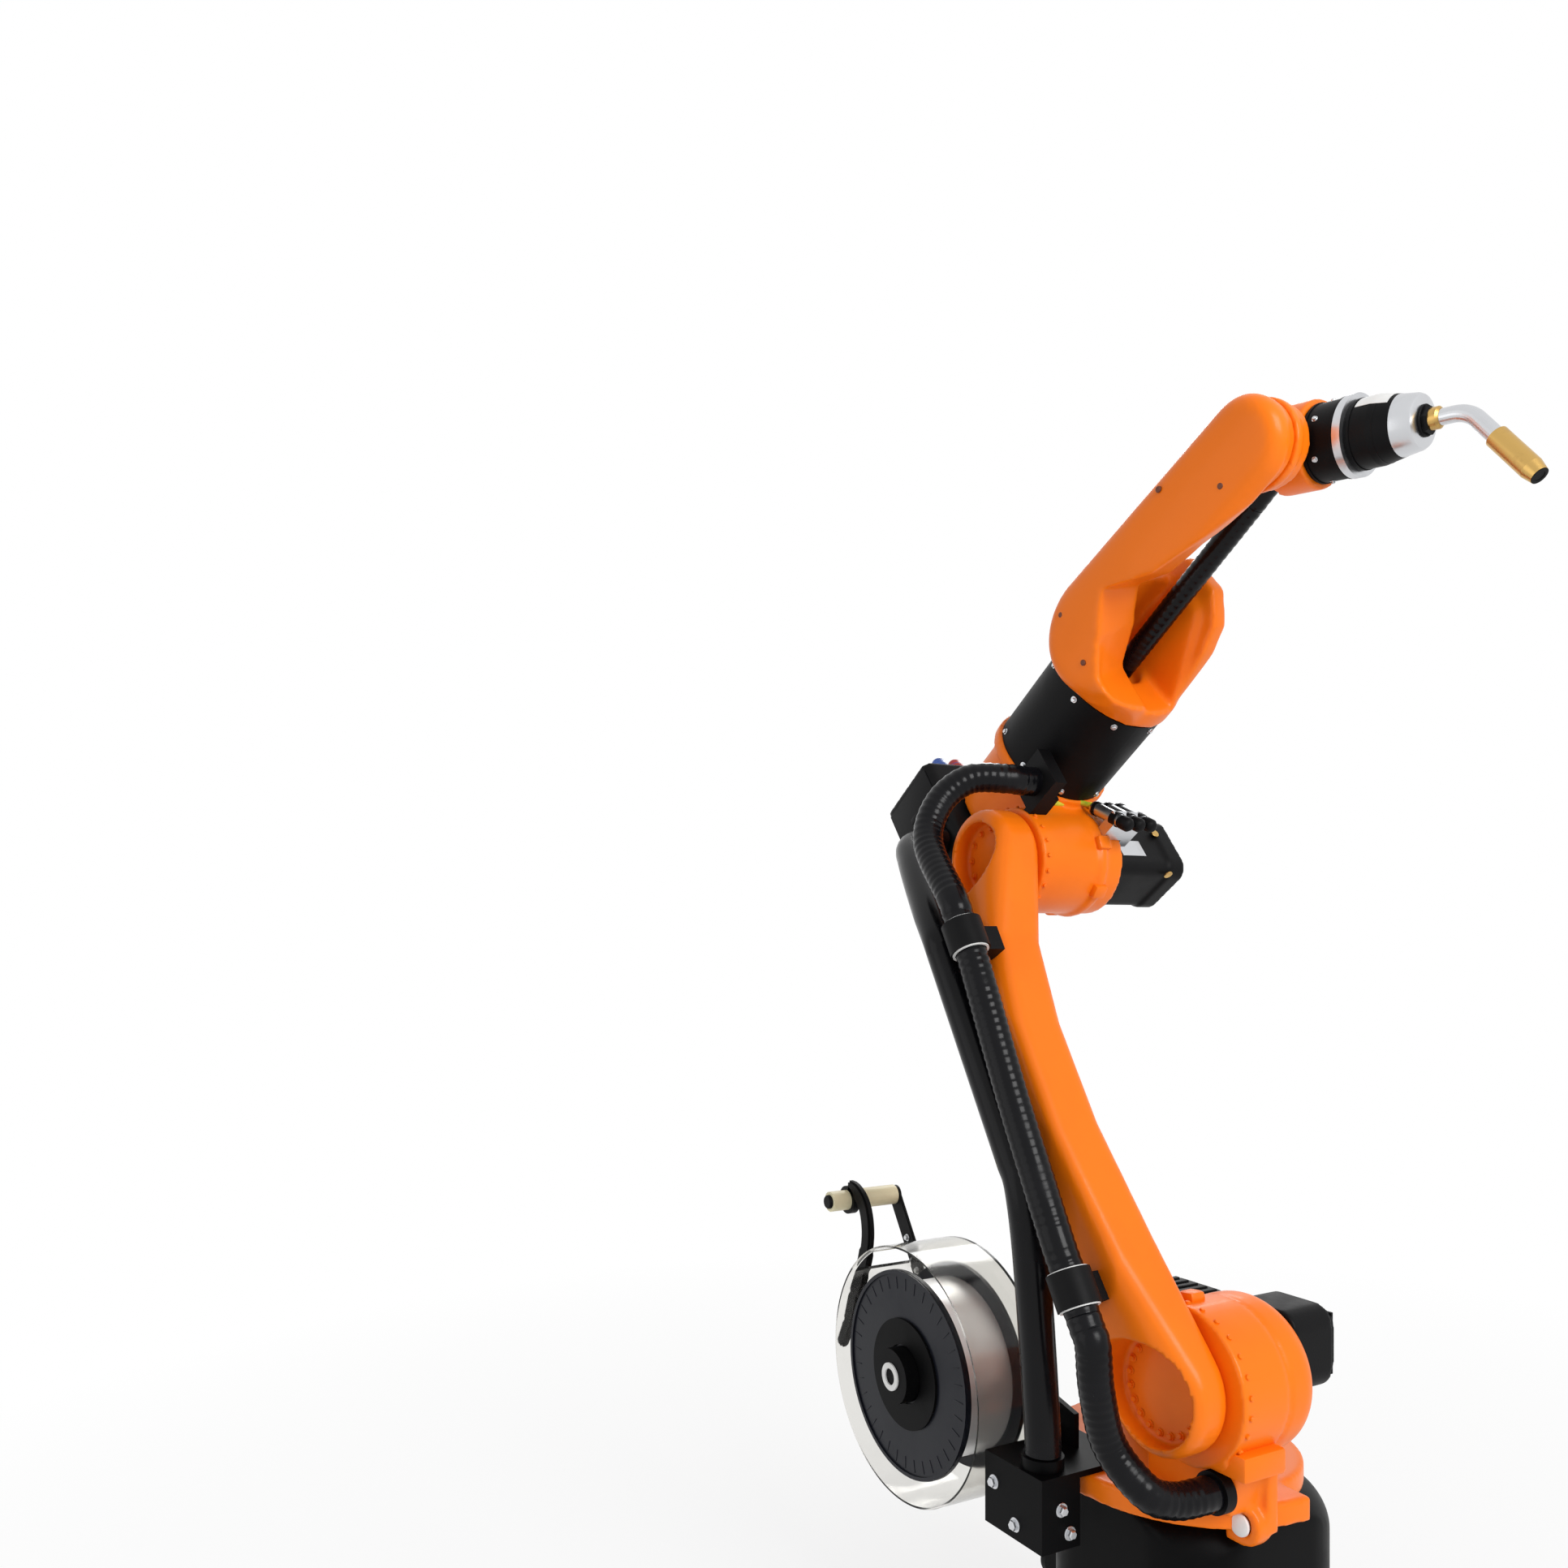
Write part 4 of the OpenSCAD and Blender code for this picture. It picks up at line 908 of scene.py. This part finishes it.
# %% [markdown]
# ## Motors
# Motors end in a ribbed cap with a socket for their cable. The ribs are a row of equal slabs, so a helper
# repeats one at a pitch. Beside the elbow three leads come out of plugs, and three ribbed conduits lie on
# the drum under clips; these are swept like the hoses.

# %% Ribs, plate, sockets and earth screws of the motors
def rib_row(bm, part, low, high, pitch, count, bevel=0.0008):
    for k in range(count):
        slab(bm, part, (low[0] + pitch * k, *low[1:]), (high[0] + pitch * k, *high[1:]), bevel)


bm = bmesh.new()
rib_row(bm, arm_frame, (-44, 187, -44), (-36, 191, 44), 20, 5)
slab(bm, arm_frame, (-16, 96, 50), (16, 136, 62), 0.003)
add_piece("elbow_motor_ribs", bm, black_plastic, "arm")
bm = bmesh.new()
slab(bm, arm_frame, (52, 70, -26), (53.4, 118, 4), 0.0004)
add_piece("motor_plate", bm, bright_steel, "arm")
bm = bmesh.new()
rib_row(bm, shoulder_frame, (-40, 77, -14), (-32, 81, 66), 18, 5)
add_piece("shoulder_motor_ribs", bm, black_plastic, "column")
slew_motor_frame, slew_half = shift(-85, 62, 565), 62
connector_outline = ((9, 0), (9, 10), (7.5, 11), (7.5, 18), (6, 19))
bm = bmesh.new()
rib_row(bm, slew_motor_frame, (-40, -44, -2), (-32, 44, 3), 18, 5)
slab(bm, slew_motor_frame, (-68, -20, -70), (-60, 20, -26), 0.003)
for z in (-58, -38):
    turned(bm, at(slew_motor_frame, -67, 0, z), to_back, connector_outline, 28)
for y in (-slew_half, slew_half):
    rib_row(bm, slew_motor_frame, (-36, y - 1.5, -160), (-30, y + 1.5, -30), 22, 4, 0.001)
add_piece("slew_motor_ribs", bm, black_plastic, "column")
bm = bmesh.new()
disc(bm, at(arm_frame, 46, 152, -56), way(arm_frame, 0, 0, -1), 0.007, 0.002)
disc(bm, at(arm_frame, 57, 158, 18), way(arm_frame, 1, 0, 0), 0.007, 0.002)
add_piece("motor_earth_screws", bm, nozzle_brass, "arm")
print("motor ribs, plate and earth screws made")

# %% Leads, conduits and plug ends beside the elbow
plug_y = (16, 39, 62)
bm = bmesh.new()
for i, y in enumerate(plug_y):
    lead = points_on(arm_frame, (91, y, 34.5), (84 - 6 * i, y, 46), (74, 4 + 8 * i, 60),
                     (70, -34 + 6 * i, 58), (76, -82 + 6 * i, 66))
    sweep(bm, smooth_route(lead), 0.0042, 12)
add_piece("motor_leads", bm, earth_lead, "arm", 80)
conduit_circle, conduit_r = 86.4, 0.0062
bm = bmesh.new()
for y in (-97, -84, -71):
    arc = [at(arm_frame, conduit_circle * math.cos(math.radians(a)), y,
              conduit_circle * math.sin(math.radians(a))) for a in range(128, 239, 10)]
    sweep(bm, smooth_route(arc), conduit_r, 12, rib=0.0012, pitch=0.006)
add_piece("elbow_conduits", bm, grey_plastic, "arm", 80)
bm = bmesh.new()
for degrees in (130, 184, 236):
    slab(bm, arm_frame @ turn(-degrees, "Y"), (79, -104.5, -7), (94, -63.5, 7), 0.003)
add_piece("conduit_clips", bm, black_plastic, "arm")
plug_way = way(arm_frame, 0.5, 0, -0.866)
plug_outline = ((9, 0), (9, 3), (10.6, 4), (10.6, 18), (8, 22), (5, 24))
bm = bmesh.new()
for y in plug_y:
    plug = at(arm_frame, 90, y, 36)
    sleeve(bm, plug + plug_way * 0.046, plug_way, 0.0098, 0.0114, 0.012, 28)
    sleeve(bm, plug + plug_way * 0.004, plug_way, 0.0098, 0.0112, 0.006, 28)
    turned(bm, plug + plug_way * 0.061, plug_way, plug_outline, 28)
add_piece("plug_collars", bm, black_plastic, "arm")
print(len(plug_y), "plugs with their leads, and the conduits, made")


# %% [markdown]
# ## Torch
# The torch ends in a blunt bright ring, a dark nut and a brass collar, which stand in for the plain cone.
# Its sleeve has thin grip rings and a plain pale patch. The nozzle's mouth gets a dark ring on its lip and
# a dark disc across its bore, which is painted shade of the hole. All but the patch are turned round an
# axis;
# the patch is a thin closed shell bent round the sleeve.

# %% Torch front: blunt ring, dark nut, brass collar and grip rings
def on_torch(z):
    return at(torch_frame, 0, 0, z)


torch_way = way(torch_frame, 0, 0, 1)
front_outline = ((36, 0), (35.4, 2), (32.5, 20), (30.5, 23.4), (26, 24.6), (16, 25))
bm = bmesh.new()
turned(bm, on_torch(138.3), torch_way, front_outline)
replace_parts(add_piece("torch_front_ring", bm, bright_steel, "torch"), "torch_cone")
bm = bmesh.new()
disc(bm, on_torch(163), torch_way, 0.0175, 0.0094, 6)
disc(bm, on_torch(163), torch_way, 0.0185, 0.0035, 32)
add_piece("torch_nut", bm, black_plastic, "torch")
bm = bmesh.new()
disc(bm, on_torch(172.4), torch_way, 0.0128, 0.011, 32)
add_piece("torch_collar", bm, nozzle_brass, "torch")
bm = bmesh.new()
for z, r0, r1 in ((36.5, 0.0455, 0.0484), (72, 0.0455, 0.0484), (90, 0.036, 0.042), (118, 0.036, 0.0398)):
    sleeve(bm, on_torch(z), torch_way, r0, r1, 0.003, 64)
add_piece("torch_grip_rings", bm, black_plastic, "torch")
print("torch front made")

# %% Torch patch
steps, patch_from, patch_sweep = 10, 188, 40
patch_rows = ((95, 41.0), (113.5, 41.0), (133, 37.1))
patch_angles = [math.radians(patch_from + patch_sweep * k / steps) for k in range(steps + 1)]
bm = bmesh.new()
outer, inner = [[[bm.verts.new(at(torch_frame, (r + lift) * math.cos(a), (r + lift) * math.sin(a), z))
                  for a in patch_angles] for z, r in patch_rows] for lift in (0.5, -0.6)]
for i in (0, 1):
    for grid in (outer, inner):
        for k in range(steps):
            bm.faces.new((grid[i][k], grid[i][k + 1], grid[i + 1][k + 1], grid[i + 1][k]))
    for k in (0, steps):
        bm.faces.new((outer[i][k], outer[i + 1][k], inner[i + 1][k], inner[i][k]))
for i in (0, 2):
    for k in range(steps):
        bm.faces.new((outer[i][k], outer[i][k + 1], inner[i][k + 1], inner[i][k]))
add_piece("torch_patch", bm, pale_plastic, "torch")
print("torch patch over", patch_sweep, "degrees")

# %% Dark lip of the nozzle, and painted shade across its bore
bend, bend_r, neck_foot, neck_run, neck_z = math.radians(46), 40, 24, 34, 172.3
bend_end = Vector((bend_r - bend_r * math.cos(bend), 0, neck_foot + bend_r * math.sin(bend)))
tip = bend_end + neck_run * Vector((math.sin(bend), 0, math.cos(bend)))
nozzle_way = way(neck_frame, math.sin(bend), 0, math.cos(bend))
nozzle_foot = at(neck_frame, tip.x, 0, neck_z + tip.z)
bm = bmesh.new()
sleeve(bm, nozzle_foot + nozzle_way * 0.0735, nozzle_way, 0.006, 0.0098, 0.0012, 32)
# A dark disc across the mouth is painted shade where the nozzle's bore would show.
disc(bm, nozzle_foot + nozzle_way * 0.0736, nozzle_way, 0.0075, 0.0006, 32)
add_piece("nozzle_lip_and_bore_shade", bm, black_plastic, "torch")
print("nozzle foot at", [round(v, 3) for v in nozzle_foot])
